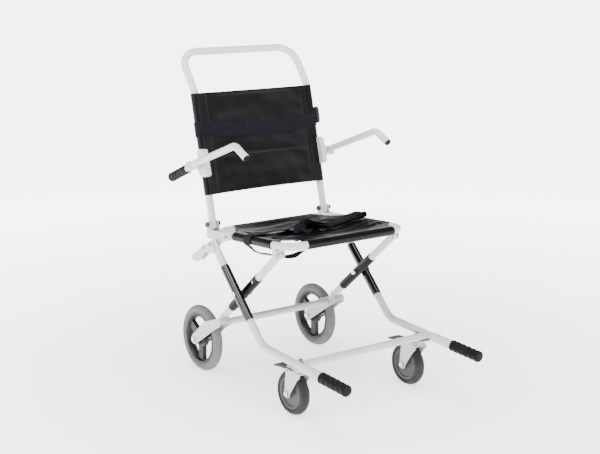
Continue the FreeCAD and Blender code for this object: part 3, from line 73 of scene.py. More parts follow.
# The middle lines of the seat's side rails, rear rail and front rail.
SEAT_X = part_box("seat_frame")[1][0] - TUBE_RADIUS
SEAT_REAR = Vector((0.0, 0.2267, 0.438))
SEAT_FRONT = Vector((0.0, -0.1363, 0.460))
# What a surface stands clear of the one it lies on, so that the two never flicker.
SKIN = 0.0001
SHARP = math.radians(32.0)

SIDES = (("left", 1), ("right", -1))


# ---- materials ---------------------------------------------------------------------------------


class Recipe:
    """A node material under construction: one Principled shader and the textures that feed it."""

    def __init__(self, name, **fixed):
        self.material = bpy.data.materials.new(name)
        self.material.use_nodes = True
        self.tree = self.material.node_tree
        self.shader = self.tree.nodes["Principled BSDF"]
        for socket, value in fixed.items():
            self.shader.inputs[socket.replace("_", " ")].default_value = value
        self.place = self.tree.nodes.new("ShaderNodeTexCoord").outputs["Object"]
        self.height = None

    def feed(self, socket, value):
        """Link a socket to another one, or set it to a plain value."""
        if isinstance(value, bpy.types.NodeSocket):
            self.tree.links.new(value, socket)
        else:
            socket.default_value = value

    def add(self, kind, **values):
        """Add a node and feed its named inputs."""
        node = self.tree.nodes.new("ShaderNode" + kind)
        for name, value in values.items():
            self.feed(node.inputs[name.replace("_", " ")], value)
        return node

    def noise(self, scale, detail=3.0, vector=None):
        """Return a cloudy factor, with scale clouds to the metre."""
        return self.add("TexNoise", Vector=vector or self.place, Scale=scale, Detail=detail).outputs["Fac"]

    def stretched(self, scales, vector=None):
        """Return the coordinates scaled along each axis."""
        node = self.add("Mapping", Vector=vector or self.place)
        node.inputs["Scale"].default_value = scales
        return node.outputs["Vector"]

    def span(self, value, low, high, start=0.3, end=0.7):
        """Stretch a factor's usual range over a range from low to high."""
        node = self.add("MapRange", Value=value)
        for name, number in (("From Min", start), ("From Max", end), ("To Min", low), ("To Max", high)):
            node.inputs[name].default_value = number
        return node.outputs["Result"]

    def maths(self, operation, first, second):
        """Return the result of a sum on two values or sockets."""
        node = self.tree.nodes.new("ShaderNodeMath")
        node.operation = operation
        self.feed(node.inputs[0], first)
        self.feed(node.inputs[1], second)
        return node.outputs[0]

    def colour(self, factor, dark, light):
        """Mix two colours by a factor and give them to the shader."""
        node = self.tree.nodes.new("ShaderNodeMix")
        node.data_type = "RGBA"
        self.tree.links.new(factor, node.inputs["Factor"])
        node.inputs[6].default_value = (*dark, 1.0)
        node.inputs[7].default_value = (*light, 1.0)
        self.tree.links.new(node.outputs[2], self.shader.inputs["Base Color"])

    def roughness(self, value):
        """Let a socket set the shader's roughness."""
        self.tree.links.new(value, self.shader.inputs["Roughness"])

    def bump(self, height, depth, strength=1.0):
        """Add one layer of relief, as deep as depth in metres."""
        node = self.add("Bump", Height=height, Distance=depth, Strength=strength)
        if self.height is not None:
            self.tree.links.new(self.height, node.inputs["Normal"])
        self.height = node.outputs["Normal"]
        self.tree.links.new(self.height, self.shader.inputs["Normal"])


def powder_coat(name, dark, light, rough=(0.28, 0.4), coat=0.25, shine=0.35):
    """Sprayed and baked paint: orange peel, faint clouding and uneven gloss."""
    paint = Recipe(name, Coat_Weight=coat, Coat_Roughness=0.18, Specular_IOR_Level=shine)
    clouds = paint.noise(14.0, 4.0)
    paint.colour(paint.span(clouds, 0.0, 1.0), dark, light)
    paint.roughness(paint.span(paint.noise(60.0), rough[0], rough[1]))
    paint.bump(paint.noise(650.0, 2.0), 0.00006)
    paint.bump(paint.noise(90.0, 2.0), 0.0001)
    return paint.material


def moulded(name, dark, light, rough, grain=900.0, depth=0.00012, shine=0.35):
    """Moulded plastic or rubber: fine grain, faint flow marks and rubbed patches."""
    body = Recipe(name, Specular_IOR_Level=shine)
    flow = body.noise(25.0, 5.0, body.stretched((1.0, 1.0, 3.0)))
    body.colour(body.span(flow, 0.0, 1.0), dark, light)
    body.roughness(body.span(body.noise(45.0), rough[0], rough[1]))
    body.bump(body.noise(grain, 2.0), depth)
    return body.material


def plated(name, tone, rough=(0.22, 0.38)):
    """Zinc plate: bright metal with fine turning marks and dull patches."""
    metal = Recipe(name, Metallic=1.0)
    patches = metal.noise(120.0, 4.0)
    metal.colour(metal.span(patches, 0.0, 1.0), [c * 0.8 for c in tone], tone)
    metal.roughness(metal.span(metal.noise(260.0), rough[0], rough[1]))
    lines = metal.noise(500.0, 2.0, metal.stretched((6.0, 1.0, 1.0)))
    metal.bump(lines, 0.00005)
    return metal.material


def coated_cloth(name):
    """Black coated cloth: leather grain, a soft grey bloom and rubbed glossy patches."""
    cloth = Recipe(name, Specular_IOR_Level=0.13)
    bloom = cloth.noise(9.0, 5.0)
    cloth.colour(cloth.span(bloom, 0.0, 1.0), (0.0016, 0.0016, 0.0019), (0.0030, 0.0031, 0.0037))
    cloth.roughness(cloth.span(cloth.noise(11.0, 3.0), 0.27, 0.36))
    cells = cloth.add("TexVoronoi", Vector=cloth.place, Scale=750.0)
    cells.feature = "SMOOTH_F1"
    cloth.bump(cells.outputs["Distance"], 0.00014)
    cloth.bump(cloth.noise(1600.0, 2.0), 0.00006)
    cloth.bump(cloth.noise(40.0, 2.0), 0.0003)
    return cloth.material


def webbing_cloth(name, dark, light):
    """Woven webbing: ribs along the strap crossed by a fine twill, with a fuzzy sheen."""
    web = Recipe(name, Specular_IOR_Level=0.12, Sheen_Weight=0.012, Sheen_Roughness=0.4)
    flat = web.add("UVMap").outputs["UV"]
    ribs = web.add("TexWave", Vector=flat, Scale=330.0, Distortion=0.0)
    ribs.bands_direction = "X"
    twill = web.add("TexWave", Vector=flat, Scale=420.0, Distortion=0.3)
    twill.bands_direction = "DIAGONAL"
    weave = web.maths("MULTIPLY", ribs.outputs["Fac"], twill.outputs["Fac"])
    fade = web.noise(30.0, 4.0)
    mixed = web.maths("MULTIPLY", web.span(fade, 0.5, 1.0), web.span(weave, 0.35, 1.0, 0.0, 1.0))
    web.colour(mixed, dark, light)
    web.roughness(web.span(web.noise(80.0), 0.62, 0.8))
    web.bump(weave, 0.0003)
    web.bump(web.noise(1400.0, 2.0), 0.00008)
    return web.material


def tyre_rubber(name, dark, light, rough=(0.5, 0.68)):
    """Solid tyre: matt, with a faint dusty bloom and a fine moulded grain."""
    rubber = Recipe(name, Specular_IOR_Level=0.2)
    dust = rubber.noise(35.0, 6.0)
    fine = rubber.noise(420.0, 3.0)
    mixed = rubber.maths("MULTIPLY", rubber.span(dust, 0.35, 1.0), rubber.span(fine, 0.6, 1.0))
    rubber.colour(mixed, dark, light)
    rubber.roughness(rubber.span(dust, rough[1], rough[0]))
    rubber.bump(rubber.noise(900.0, 3.0), 0.00015)
    return rubber.material


# The material of each slot in the record, as a dark and a light tone, a roughness range and the rest.
SLOT_MATERIALS = {
    "white_powder": powder_coat("white_powder_coat", (0.50, 0.504, 0.512), (0.57, 0.574, 0.58)),
    "white_casting": powder_coat("white_coated_casting", (0.47, 0.474, 0.482), (0.56, 0.562, 0.568),
                                 (0.34, 0.48), 0.12),
    "black_sleeve": powder_coat("gloss_black_sleeve", (0.0022, 0.0022, 0.0026), (0.005, 0.005, 0.0055),
                                (0.1, 0.18), 0.5),
    "grey_sleeve": powder_coat("satin_grey_sleeve", (0.0045, 0.0046, 0.0046), (0.009, 0.0092, 0.009),
                               (0.4, 0.5), 0.0, 0.12),
    "zinc": plated("zinc_plate", (0.7, 0.69, 0.67)),
    "black_vinyl": coated_cloth("black_coated_cloth"),
    "navy_webbing": webbing_cloth("navy_webbing", (0.0009, 0.001, 0.0022), (0.004, 0.0044, 0.0105)),
    "grip_rubber": moulded("grip_rubber", (0.0022, 0.0022, 0.0023), (0.006, 0.006, 0.0062),
                           (0.5, 0.68), 700.0, 0.0002, 0.12),
    "grey_tyre": tyre_rubber("grey_tyre", (0.105, 0.106, 0.108), (0.175, 0.176, 0.179)),
    "black_rim": moulded("black_rim", (0.003, 0.003, 0.0034), (0.008, 0.008, 0.009), (0.32, 0.5)),
    "caster_tyre": tyre_rubber("caster_tyre", (0.014, 0.0135, 0.0132), (0.032, 0.031, 0.0305)),
    "caster_core": moulded("caster_core", (0.03, 0.0312, 0.0325), (0.055, 0.0565, 0.0585), (0.35, 0.5)),
    "pedal": moulded("dark_pedal", (0.012, 0.0125, 0.014), (0.028, 0.0285, 0.03), (0.4, 0.55)),
    "dark_knob": moulded("dark_knob", (0.02, 0.0205, 0.022), (0.045, 0.046, 0.05), (0.35, 0.5)),
    "buckle": moulded("black_buckle", (0.004, 0.004, 0.0045), (0.010, 0.010, 0.011), (0.28, 0.42)),
    "arm_plug": moulded("black_plug", (0.002, 0.002, 0.0022), (0.005, 0.005, 0.0055),
                        (0.5, 0.66), shine=0.12),
}
DULL_METAL = plated("dull_nickel_plate", (0.12, 0.12, 0.124), (0.38, 0.52))
THREAD = moulded("black_thread", (0.003, 0.003, 0.0036), (0.008, 0.008, 0.0095),
                 (0.5, 0.7), 2500.0, 0.0001)


def paint_nodes():
    """Give every CAD node the material of its slot in the record."""
    for row in frame["record"]["subparts"]:
        node = frame["nodes"][row["node"]]
        node.data.materials.clear()
        node.data.materials.append(SLOT_MATERIALS[row["material_slot"]])


# ---- mesh helpers ------------------------------------------------------------------------------


def make_piece(name, vertices, faces, slot, material=None, uvs=None):
    """Make a smooth mesh object, of its slot's material or another, with an optional UV per vertex."""
    mesh = bpy.data.meshes.new(name)
    mesh.from_pydata([tuple(v) for v in vertices], [], faces)
    mesh.materials.append(material or SLOT_MATERIALS[slot])
    if uvs is not None:
        layer = mesh.uv_layers.new(name="UVMap")
        for loop in mesh.loops:
            layer.data[loop.index].uv = uvs[loop.vertex_index]
    mesh.polygons.foreach_set("use_smooth", [True] * len(mesh.polygons))
    mesh.update()
    piece = bpy.data.objects.new(name, mesh)
    bpy.context.collection.objects.link(piece)
    return piece


def bake(piece):
    """Turn a piece's modifiers into its mesh."""
    graph = bpy.context.evaluated_depsgraph_get()
    mesh = bpy.data.meshes.new_from_object(piece.evaluated_get(graph), depsgraph=graph)
    piece.modifiers.clear()
    piece.data = mesh
    return piece


def face_outwards(piece):
    """Turn every face of a closed or single sheet the same way out."""
    build = bmesh.new()
    build.from_mesh(piece.data)
    bmesh.ops.recalc_face_normals(build, faces=build.faces)
    build.to_mesh(piece.data)
    build.free()


def surface_of(mesh):
    """Return a tree that rays can be cast against."""
    build = bmesh.new()
    build.from_mesh(mesh)
    tree = BVHTree.FromBMesh(build)
    build.free()
    return tree


def thicken(piece, thickness):
    """Give a sheet its thickness, shared about its middle surface."""
    solid = piece.modifiers.new("Thickness", "SOLIDIFY")
    solid.thickness = thickness
    solid.offset = 0.0
    return bake(piece)


def grid_faces(rows, columns, closed=False):
    """Return the quads of a grid of rows by columns points."""
    faces = []
    last = columns if closed else columns - 1
    for row in range(rows - 1):
        for column in range(last):
            after = (column + 1) % columns
            a = row * columns + column
            b = row * columns + after
            faces.append((a, b, b + columns, a + columns))
    return faces


def end_caps(base, rings, corners):
    """Return the two faces that close a tube of rings, the first of which starts at base."""
    last = base + corners * (rings - 1)
    start = tuple(base + corner for corner in reversed(range(corners)))
    return [start, tuple(last + corner for corner in range(corners))]


def smooth_path(points, count):
    """Return evenly spaced points along a curve through the given points, and its length."""
    dense = []
    steps = 24
    for index in range(len(points) - 1):
        before = points[max(index - 1, 0)]
        start = points[index]
        end = points[index + 1]
        after = points[min(index + 2, len(points) - 1)]
        for step in range(steps):
            share = step / steps
            square = share * share
            cube = square * share
            dense.append(0.5 * (2 * start + (end - before) * share
                                + (2 * before - 5 * start + 4 * end - after) * square
                                + (3 * start - before - 3 * end + after) * cube))
    dense.append(points[-1].copy())
    lengths = [0.0]
    for first, second in zip(dense, dense[1:]):
        lengths.append(lengths[-1] + (second - first).length)
    result = []
    spot = 0
    for number in range(count):
        wanted = lengths[-1] * number / (count - 1)
        while spot < len(dense) - 2 and lengths[spot + 1] < wanted:
            spot += 1
        gap = lengths[spot + 1] - lengths[spot]
        share = 0.0 if gap == 0 else (wanted - lengths[spot]) / gap
        result.append(dense[spot].lerp(dense[spot + 1], min(share, 1.0)))
    return result, lengths[-1]


def strap(name, points, across, width, seed, ripple):
    """Make a webbing strap along a path. across holds the strap's width direction at each point."""
    count = max(24, 10 * (len(points) - 1))
    path, length = smooth_path(points, count)
    side_path, _ = smooth_path(across, count)
    vertices = []
    uvs = []
    half = BELT / 2
    thinning = 0.35
    profile = []
    columns = 9
    for column in range(columns):
        profile.append((width * (column / (columns - 1) - 0.5), half))
    for column in range(columns):
        profile.append((width * (0.5 - column / (columns - 1)), -half))
    for index, spot in enumerate(path):
        before = path[max(index - 1, 0)]
        after = path[min(index + 1, count - 1)]
        heading = (after - before).normalized()
        side = side_path[index]
        side = (side - heading * side.dot(heading)).normalized()
        up = heading.cross(side).normalized()
        for offset, lift in profile:
            wave = noise.noise(Vector((index * 0.21, offset * 60.0, seed * 7.3))) * ripple
            edge = 1.0 - thinning * (abs(offset) / (width / 2)) ** 6
            vertices.append(spot + side * offset + up * (lift * edge + wave))
            uvs.append((offset, length * index / (count - 1)))
    faces = grid_faces(count, len(profile), closed=True)
    faces.append(tuple(range(len(profile))))
    start = (count - 1) * len(profile)
    faces.append(tuple(reversed(range(start, start + len(profile)))))
    return make_piece(name, vertices, faces, "navy_webbing", uvs=uvs)


def rounded_corner(angle, half, power):
    """Return a place on a rectangle with round corners, at an angle. half holds its half sizes."""
    across = math.copysign(abs(math.cos(angle)) ** power, math.cos(angle)) * half[0]
    upright = math.copysign(abs(math.sin(angle)) ** power, math.sin(angle)) * half[1]
    return across, upright


def stitches(name, spots, headings, normals):
    """Make a row of thread stitches: one short rounded bead for each spot."""
    vertices = []
    faces = []
    ring = 6
    size = 0.0028
    radius = 0.00042
    flatness = 0.7
    stations = ((-0.5, 0.25), (-0.36, 0.8), (0.0, 1.0), (0.36, 0.8), (0.5, 0.25))
    for spot, heading, normal in zip(spots, headings, normals):
        side = heading.cross(normal).normalized()
        base = len(vertices)
        for place, swell in stations:
            for corner in range(ring):
                angle = 2 * math.pi * corner / ring
                offset = side * math.cos(angle) + normal * (math.sin(angle) * flatness)
                vertices.append(spot + heading * (place * size) + offset * (radius * swell))
        for face in grid_faces(len(stations), ring, closed=True):
            faces.append(tuple(base + corner for corner in face))
        faces.extend(end_caps(base, len(stations), ring))
    return make_piece(name, vertices, faces, "black_vinyl", THREAD)


# ---- back sling --------------------------------------------------------------------------------

FLAP_STEPS = 4
BACK_UP = Vector((0.0, math.sin(BACK_LEAN), math.cos(BACK_LEAN)))
BACK_OUT = Vector((0.0, -math.cos(BACK_LEAN), math.sin(BACK_LEAN)))
# The sling's edges and its cross seam are measured from the hinge, along the tubes.
SLING_LOW = 0.0845
SLING_HIGH = 0.3820
CROSS_SEAM = 0.190
SEAM_X = 0.177
BACK_HEM = 0.012
BACK_SAG = 0.0075
WEB_OUT = 0.0119
BACK_PITCH = 0.0045


def back_point(x, along, out):
    """Return a place on the backrest: x across, along the side tubes from the hinge, out in front."""
    return BACK_HINGE + Vector((x, 0.0, 0.0)) + BACK_UP * along + BACK_OUT * out


def dip(value, middle, width):
    """Return a smooth groove profile: 1 at the middle, 0 a few widths away."""
    return math.exp(-((value - middle) / width) ** 2)


def wrap_profile(seam_x, tube_x, radius, web_out, inner_steps, web_steps):
    """Return the section of a sheet that wraps both side tubes, from one hidden end to the other."""
    half = []
    flap_gap = 0.0018
    flap = Vector((tube_x - seam_x, web_out - flap_gap))
    leave = math.atan2(flap.y, flap.x) - math.acos(radius / flap.length)
    touch = Vector((math.cos(leave), math.sin(leave))) * radius
    for step in range(FLAP_STEPS):
        half.append(flap.lerp(touch, step / FLAP_STEPS))
    turn = 2 * math.pi - (math.pi / 2 - leave)
    for step in range(inner_steps + 1):
        angle = leave - turn * step / inner_steps
        half.append(Vector((math.cos(angle), math.sin(angle))) * radius)
    profile = [(-tube_x + p.x, p.y) for p in half]
    for step in range(1, web_steps):
        share = step / web_steps
        out = radius + (web_out - radius) * math.sin(math.pi * share)
        profile.append((-tube_x + 2 * tube_x * share, out))
    profile += [(tube_x - p.x, p.y) for p in reversed(half)]
    return profile


def back_relief(x, along):
    """Return how far the back sling's web stands out of its flat place: sag, seams and creases."""
    share = min(abs(x) / SEAM_X, 1.0)
    free = 1.0 - share ** 4
    up = (along - SLING_LOW) / (SLING_HIGH - SLING_LOW)
    sag = -BACK_SAG * (1.0 - share ** 2) * (0.75 + 0.25 * math.sin(math.pi * up))
    creases = noise.noise(Vector((x * 9.0, along * 26.0, 3.1))) * 0.0016
    creases += noise.noise(Vector((x * 26.0 + along * 12.0, along * 9.0, 8.7))) * 0.0008
    pull = math.sin((along + abs(x) * 0.45) * 120.0) * 0.0006 * dip(share, 0.86, 0.22)
    seams = -0.0011 * dip(abs(x), SEAM_X, 0.0022) + 0.0007 * dip(abs(x), SEAM_X - 0.006, 0.004)
    seams -= 0.0011 * dip(along, CROSS_SEAM, 0.0018) * free
    seams += 0.0006 * dip(along, CROSS_SEAM + 0.006, 0.005) * free
    hem = 0.0
    for edge, sign in ((SLING_LOW, 1), (SLING_HIGH, -1)):
        inside = (along - edge) * sign
        if inside < BACK_HEM:
            hem += 0.0006 * max(0.0, 1.0 - (inside / BACK_HEM) ** 4)
        hem -= 0.0008 * dip(inside, BACK_HEM + 0.0005, 0.0013)
    return sag + (creases + pull) * free + seams + hem * (0.3 + 0.7 * free)


def back_seam_rows():
    """Return where the back sling's stitches go: two upright rows, two hem rows and the cross seam."""
    height = SLING_HIGH - SLING_LOW
    upright_end = 0.006
    level_end = 0.004
    hem_row = BACK_HEM + 0.0005
    rows = []
    for x in (-SEAM_X, SEAM_X):
        count = int((height - 2 * upright_end) / BACK_PITCH)
        rows.append([(x, SLING_LOW + upright_end + BACK_PITCH * i) for i in range(count)])
    for along in (SLING_LOW + hem_row, SLING_HIGH - hem_row, CROSS_SEAM - 0.0028):
        count = int(2 * (SEAM_X - level_end) / BACK_PITCH)
        rows.append([(-SEAM_X + level_end + BACK_PITCH * i, along) for i in range(count)])
    return rows


def build_back_sling():
    """One sheet with a loop hem round each back tube, and its stitching."""
    profile = wrap_profile(SEAM_X, BACK_TUBE_X, WRAP_RADIUS, WEB_OUT, 22, 96)
    height = SLING_HIGH - SLING_LOW
    web_floor = 0.0112
    hidden = FLAP_STEPS + 4
    low_bow = 0.0025
    rows = 84
    vertices = []
    for row in range(rows):
        share = row / (rows - 1)
        along = SLING_LOW + height * share
        for index, (x, out) in enumerate(profile):
            relief = 0.0
            bend = 0.0
            if abs(x) < BACK_TUBE_X and out > web_floor:
                bow = math.sin(math.pi * min(1.0, (x + BACK_TUBE_X) / (2 * BACK_TUBE_X)))
                bend = low_bow * bow * (1.0 - share)
                if hidden < index < len(profile) - hidden - 1:
                    relief = back_relief(x, along)
            vertices.append(back_point(x, along + bend, out + relief))
    faces = grid_faces(rows, len(profile))
    piece = make_piece("back_sling_cloth", vertices, faces, "black_vinyl")
    thicken(piece, CLOTH)
    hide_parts("backrest_sling")
    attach(piece, "backrest")
    spots = []
    headings = []
    normals = []
    for seam in back_seam_rows():
        upright = seam[0][0] == seam[-1][0]
        for x, along in seam:
            out = WEB_OUT + back_relief(x, along) + CLOTH / 2 + SKIN
            spots.append(back_point(x, along, out))
            headings.append(BACK_UP if upright else Vector((1.0, 0.0, 0.0)))
            normals.append(BACK_OUT)
    thread = stitches("back_sling_stitching", spots, headings, normals)
    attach(thread, "backrest")


# ---- seat sling --------------------------------------------------------------------------------

SEAT_DEPTH = (SEAT_FRONT - SEAT_REAR).length
SEAT_AHEAD = (SEAT_FRONT - SEAT_REAR).normalized()
SEAT_UP = Vector((0.0, SEAT_AHEAD.z, -SEAT_AHEAD.y))
ACROSS_SEAT = Vector((1.0, 0.0, 0.0))
# The half widths of the rear and front hems, and where the side hems start and end.
REAR_HALF = 0.143
FRONT_LEFT = 0.159
FRONT_RIGHT = 0.143
SIDE_FROM = 0.106
SIDE_TO = 0.297
SEAT_SAG = 0.011
HEM_SEAM = 0.028
SEAT_PITCH = 0.0048


def seat_point(x, ahead, lift):
    """Return a place on the seat: x across, ahead from the rear rail, lift above the rails."""
    return SEAT_REAR + Vector((x, 0.0, 0.0)) + SEAT_AHEAD * ahead + SEAT_UP * lift


def edge_x(ahead, sign):
    """Return where the sling's side edge is: cut away in a curve at the corners."""
    if ahead < SIDE_FROM:
        share = ahead / SIDE_FROM
        end = REAR_HALF
    elif ahead > SIDE_TO:
        share = (SEAT_DEPTH - ahead) / (SEAT_DEPTH - SIDE_TO)
        end = FRONT_LEFT if sign > 0 else FRONT_RIGHT
    else:
        return sign * SEAT_X
    return sign * (end + (SEAT_X - end) * (0.35 * share + 0.65 * share ** 2.4))


def web_x(ahead, share):
    """Spread a share from 0 to 1 between the sling's right and left edges."""
    right = edge_x(ahead, -1)
    return right + (edge_x(ahead, 1) - right) * share


def column_share(column, columns):
    """Space the web's columns closer together towards its two side hems."""
    even = column / (columns - 1)
    return even - 0.6 * math.sin(2 * math.pi * even) / (2 * math.pi)


# Each fold: its two ends as (X, distance ahead of the rear rail), its height and its half width.
SEAT_FOLDS = (
    ((-0.030, 0.303), (0.192, 0.268), 0.0040, 0.0060),
    ((0.020, 0.272), (0.196, 0.238), 0.0032, 0.0052),
    ((-0.192, 0.246), (-0.060, 0.280), 0.0034, 0.0080),
    ((-0.176, 0.284), (-0.030, 0.312), 0.0026, 0.0065),
    ((0.090, 0.096), (0.196, 0.124), 0.0024, 0.0060),
    ((-0.150, 0.094), (0.040, 0.066), 0.0020, 0.0120),
    ((-0.190, 0.130), (-0.060, 0.112), 0.0018, 0.0090),
)


def fold_height(x, ahead):
    """Return the height of the folds across the seat: ridges, each with a trough in front."""
    height = 0.0
    for start, end, rise, width in SEAT_FOLDS:
        run = (end[0] - start[0], end[1] - start[1])
        length = math.hypot(*run)
        share = ((x - start[0]) * run[0] + (ahead - start[1]) * run[1]) / length ** 2
        bend = 0.006 * math.sin(share * 5.0 + start[0] * 40.0)
        off = ((x - start[0]) * run[1] - (ahead - start[1]) * run[0]) / length + bend
        body = math.exp(-max(0.0, abs(share - 0.5) - 0.36) ** 2 / 0.012)
        height += rise * body * (dip(off, 0.0, width) - 0.55 * dip(off, -1.9 * width, 1.3 * width))
    return height


def seat_relief(x, ahead):
    """Return how far the seat web stands off its flat place: sag, hem seams and creases."""
    across = min(abs(x) / SEAT_X, 1.0)
    along = min(abs(ahead / SEAT_DEPTH - 0.5) * 2.0, 1.0)
    free = (1.0 - across ** 4) * (1.0 - along ** 4)
    sag = -SEAT_SAG * (1.0 - across ** 2.4) * (1.0 - along ** 2.4)
    sway = 0.02 * math.sin(x * 9.0 + 0.4)
    creases = noise.noise(Vector((x * 4.0, (ahead + sway) * 22.0, 4.4))) * 0.0034
    creases += noise.noise(Vector((x * 10.0 + ahead * 5.0, ahead * 36.0, 9.2))) * 0.0009
    creases += noise.noise(Vector((x * 16.0, ahead * 16.0, 1.7))) * 0.0006
    creases += fold_height(x, ahead)
    seams = 0.0
    sewn = [ahead, SEAT_DEPTH - ahead]
    if SIDE_FROM <= ahead <= SIDE_TO:
        sewn.append(SEAT_X - abs(x))
    for inside in sewn:
        seams -= 0.0014 * dip(inside, HEM_SEAM, 0.0026)
        seams += 0.0010 * dip(inside, HEM_SEAM + 0.008, 0.0055)
    return sag + creases * (0.25 + 0.75 * free) * min(1.0, 6.0 * free + 0.05) + seams


def roll_profile(steps, seam):
    """Return the section of a hem round a rail, from the top outwards and under to its seam."""
    flap_gap = 0.0022
    flap = Vector((seam, WRAP_RADIUS - flap_gap))
    leave = math.atan2(flap.y, flap.x) - math.acos(WRAP_RADIUS / flap.length)
    turn = 2 * math.pi - (math.pi / 2 - leave)
    section = []
    for step in range(1, steps + 1):
        angle = math.pi / 2 + turn * step / steps
        section.append((math.cos(angle) * WRAP_RADIUS, math.sin(angle) * WRAP_RADIUS))
    touch = Vector(section[-1])
    for step in range(1, FLAP_STEPS + 1):
        section.append(tuple(touch.lerp(flap, step / FLAP_STEPS)))
    return section


def sew_seat():
    """Stitch the seat's four hem seams."""
    spots = []
    headings = []
    normals = []

    def sew(x, ahead, heading):
        """Place one stitch."""
        spots.append(seat_point(x, ahead, WRAP_RADIUS + seat_relief(x, ahead) + CLOTH / 2 + SKIN))
        headings.append(heading)
        normals.append(SEAT_UP)

    end = 0.006
    for ahead in (HEM_SEAM, SEAT_DEPTH - HEM_SEAM):
        right = edge_x(ahead, -1) + end
        for number in range(int((edge_x(ahead, 1) - end - right) / SEAT_PITCH)):
            sew(right + SEAT_PITCH * number, ahead, ACROSS_SEAT)
    for sign in (1, -1):
        for number in range(int((SIDE_TO - SIDE_FROM) / SEAT_PITCH)):
            sew(sign * (SEAT_X - HEM_SEAM), SIDE_FROM + SEAT_PITCH * (number + 0.5), SEAT_AHEAD)
    return stitches("seat_sling_stitching", spots, headings, normals)


def build_seat_sling():
    """One sheet, cut away at the corners, rolled round the four rails and sewn under itself."""
    rows = []
    for low, high, count in ((0.0, SIDE_FROM, 26), (SIDE_FROM, SIDE_TO, 44), (SIDE_TO, SEAT_DEPTH, 20)):
        rows += [low + (high - low) * step / count for step in range(count)]
    rows.append(SEAT_DEPTH)
    columns = 121
    vertices = []
    for ahead in rows:
        for column in range(columns):
            x = web_x(ahead, column_share(column, columns))
            vertices.append(seat_point(x, ahead, WRAP_RADIUS + seat_relief(x, ahead)))
    faces = grid_faces(len(rows), columns)
    section = roll_profile(22, HEM_SEAM)

    def add_flap(edge, place):
        """Grow one hem from a row of the web's own points."""
        previous = edge
        for distance, lift in section:
            current = []
            for point in edge:
                current.append(len(vertices))
                vertices.append(place(point, distance, lift))
            for a, b, c, d in zip(previous, previous[1:], current[1:], current):
                faces.append((a, b, c, d))
            previous = current

    side_rows = [i for i, ahead in enumerate(rows) if SIDE_FROM <= ahead <= SIDE_TO]
    for sign, column in ((1, columns - 1), (-1, 0)):
        spots = {row * columns + column: rows[row] for row in side_rows}

        def beside(point, distance, lift):
            """Return a place on a side hem."""
            return seat_point(sign * (SEAT_X - distance), spots[point], lift)

        add_flap(list(spots), beside)
    for base, direction, start in ((0.0, 1, 0), (SEAT_DEPTH, -1, (len(rows) - 1) * columns)):
        wide = {start + column: web_x(base, column_share(column, columns)) for column in range(columns)}

        def beyond(point, distance, lift):
            """Return a place on the rear or front hem."""
            return seat_point(wide[point], base + direction * distance, lift)

        add_flap(list(wide), beyond)
    piece = make_piece("seat_sling_cloth", vertices, faces, "black_vinyl")
    face_outwards(piece)
    thicken(piece, CLOTH)
    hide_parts("seat_sling")
    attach(piece, "seat")
    thread = sew_seat()
    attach(thread, "seat")
    return piece


# ---- fastenings --------------------------------------------------------------------------------


def face_x(node, y, z, sign):
    """Return how far out a CAD node's surface is, along X, at a place seen from its own side."""
    tree = surface_of(frame["nodes"][node].data)
    outside = sign * 0.4
    return tree.ray_cast(Vector((outside, y, z)), Vector((-sign, 0.0, 0.0)))[0].x


def screw_mesh(centre, sign, radius, height, turn):
    """Return the points and faces of a slotted screw head: a low dome cut by a straight slot."""
    out = Vector((sign, 0.0, 0.0))
    along = Vector((0.0, math.cos(turn), math.sin(turn)))
    across = out.cross(along)
    vertices = []
    columns = 15
    half = radius * 0.15
    floor = half * 0.9
    for column in range(columns):
        u = radius * math.sin(math.radians(-80.0 + 160.0 * column / (columns - 1)))
        edge = math.sqrt(radius ** 2 - u ** 2)
        middle = (edge + half) / 2
        row = ((-edge, 0.35), (-middle, 0.8), (-half, 1.0), (-floor, 0.3),
               (floor, 0.3), (half, 1.0), (middle, 0.8), (edge, 0.35))
        for v, share in row:
            dome = share * height * (1.0 - 0.3 * (u / radius) ** 2)
            vertices.append(centre + along * u + across * v + out * dome)
    rows = len(row)
    faces = grid_faces(columns, rows)
    rim = list(range(rows))
    rim += [rows * column + rows - 1 for column in range(1, columns)]
    rim += [rows * (columns - 1) + i for i in reversed(range(rows - 1))]
    rim += [rows * column for column in reversed(range(1, columns - 1))]
    foot = len(vertices)
    sunk = 0.0004
    for index in rim:
        spot = vertices[index].copy()
        spot.x = centre.x - sign * sunk
        vertices.append(spot)
    for number in range(len(rim)):
        after = (number + 1) % len(rim)
        faces.append((rim[number], rim[after], foot + after, foot + number))
    return vertices, faces


# Each screw: its name, what it is in, the body, its Y and Z, head radius and height, and slot angle.
SCREWS = (
    ("seat_casting_screw", "seat_casting", "seat", 0.1507, 0.4400, 0.0050, 0.0014, 0.5),
    ("seat_casting_pin", "seat_casting", "seat", 0.1400, 0.4420, 0.0026, 0.0010, 1.3),
    ("latch_screw", "latch_brackets", "front_frame", 0.1957, 0.4130, 0.0044, 0.0014, 0.9),
    ("lever_screw", "latch_brackets", "front_frame", 0.2287, 0.3960, 0.0038, 0.0014, 2.1),
)


def build_screws():
    """Slotted screws in the rear seat castings and the latch brackets."""
    for side, sign in SIDES:
        for name, node, body, y, z, radius, height, turn in SCREWS:
            holder = node if node in frame["nodes"] else f"{node}_{side}"
            centre = Vector((face_x(holder, y, z, sign), y, z))
            vertices, faces = screw_mesh(centre, sign, radius, height, turn)
            screw = make_piece(f"{name}_{side}", vertices, faces, "zinc", DULL_METAL)
            screw.data.set_sharp_from_angle(angle=SHARP)
            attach(screw, body)


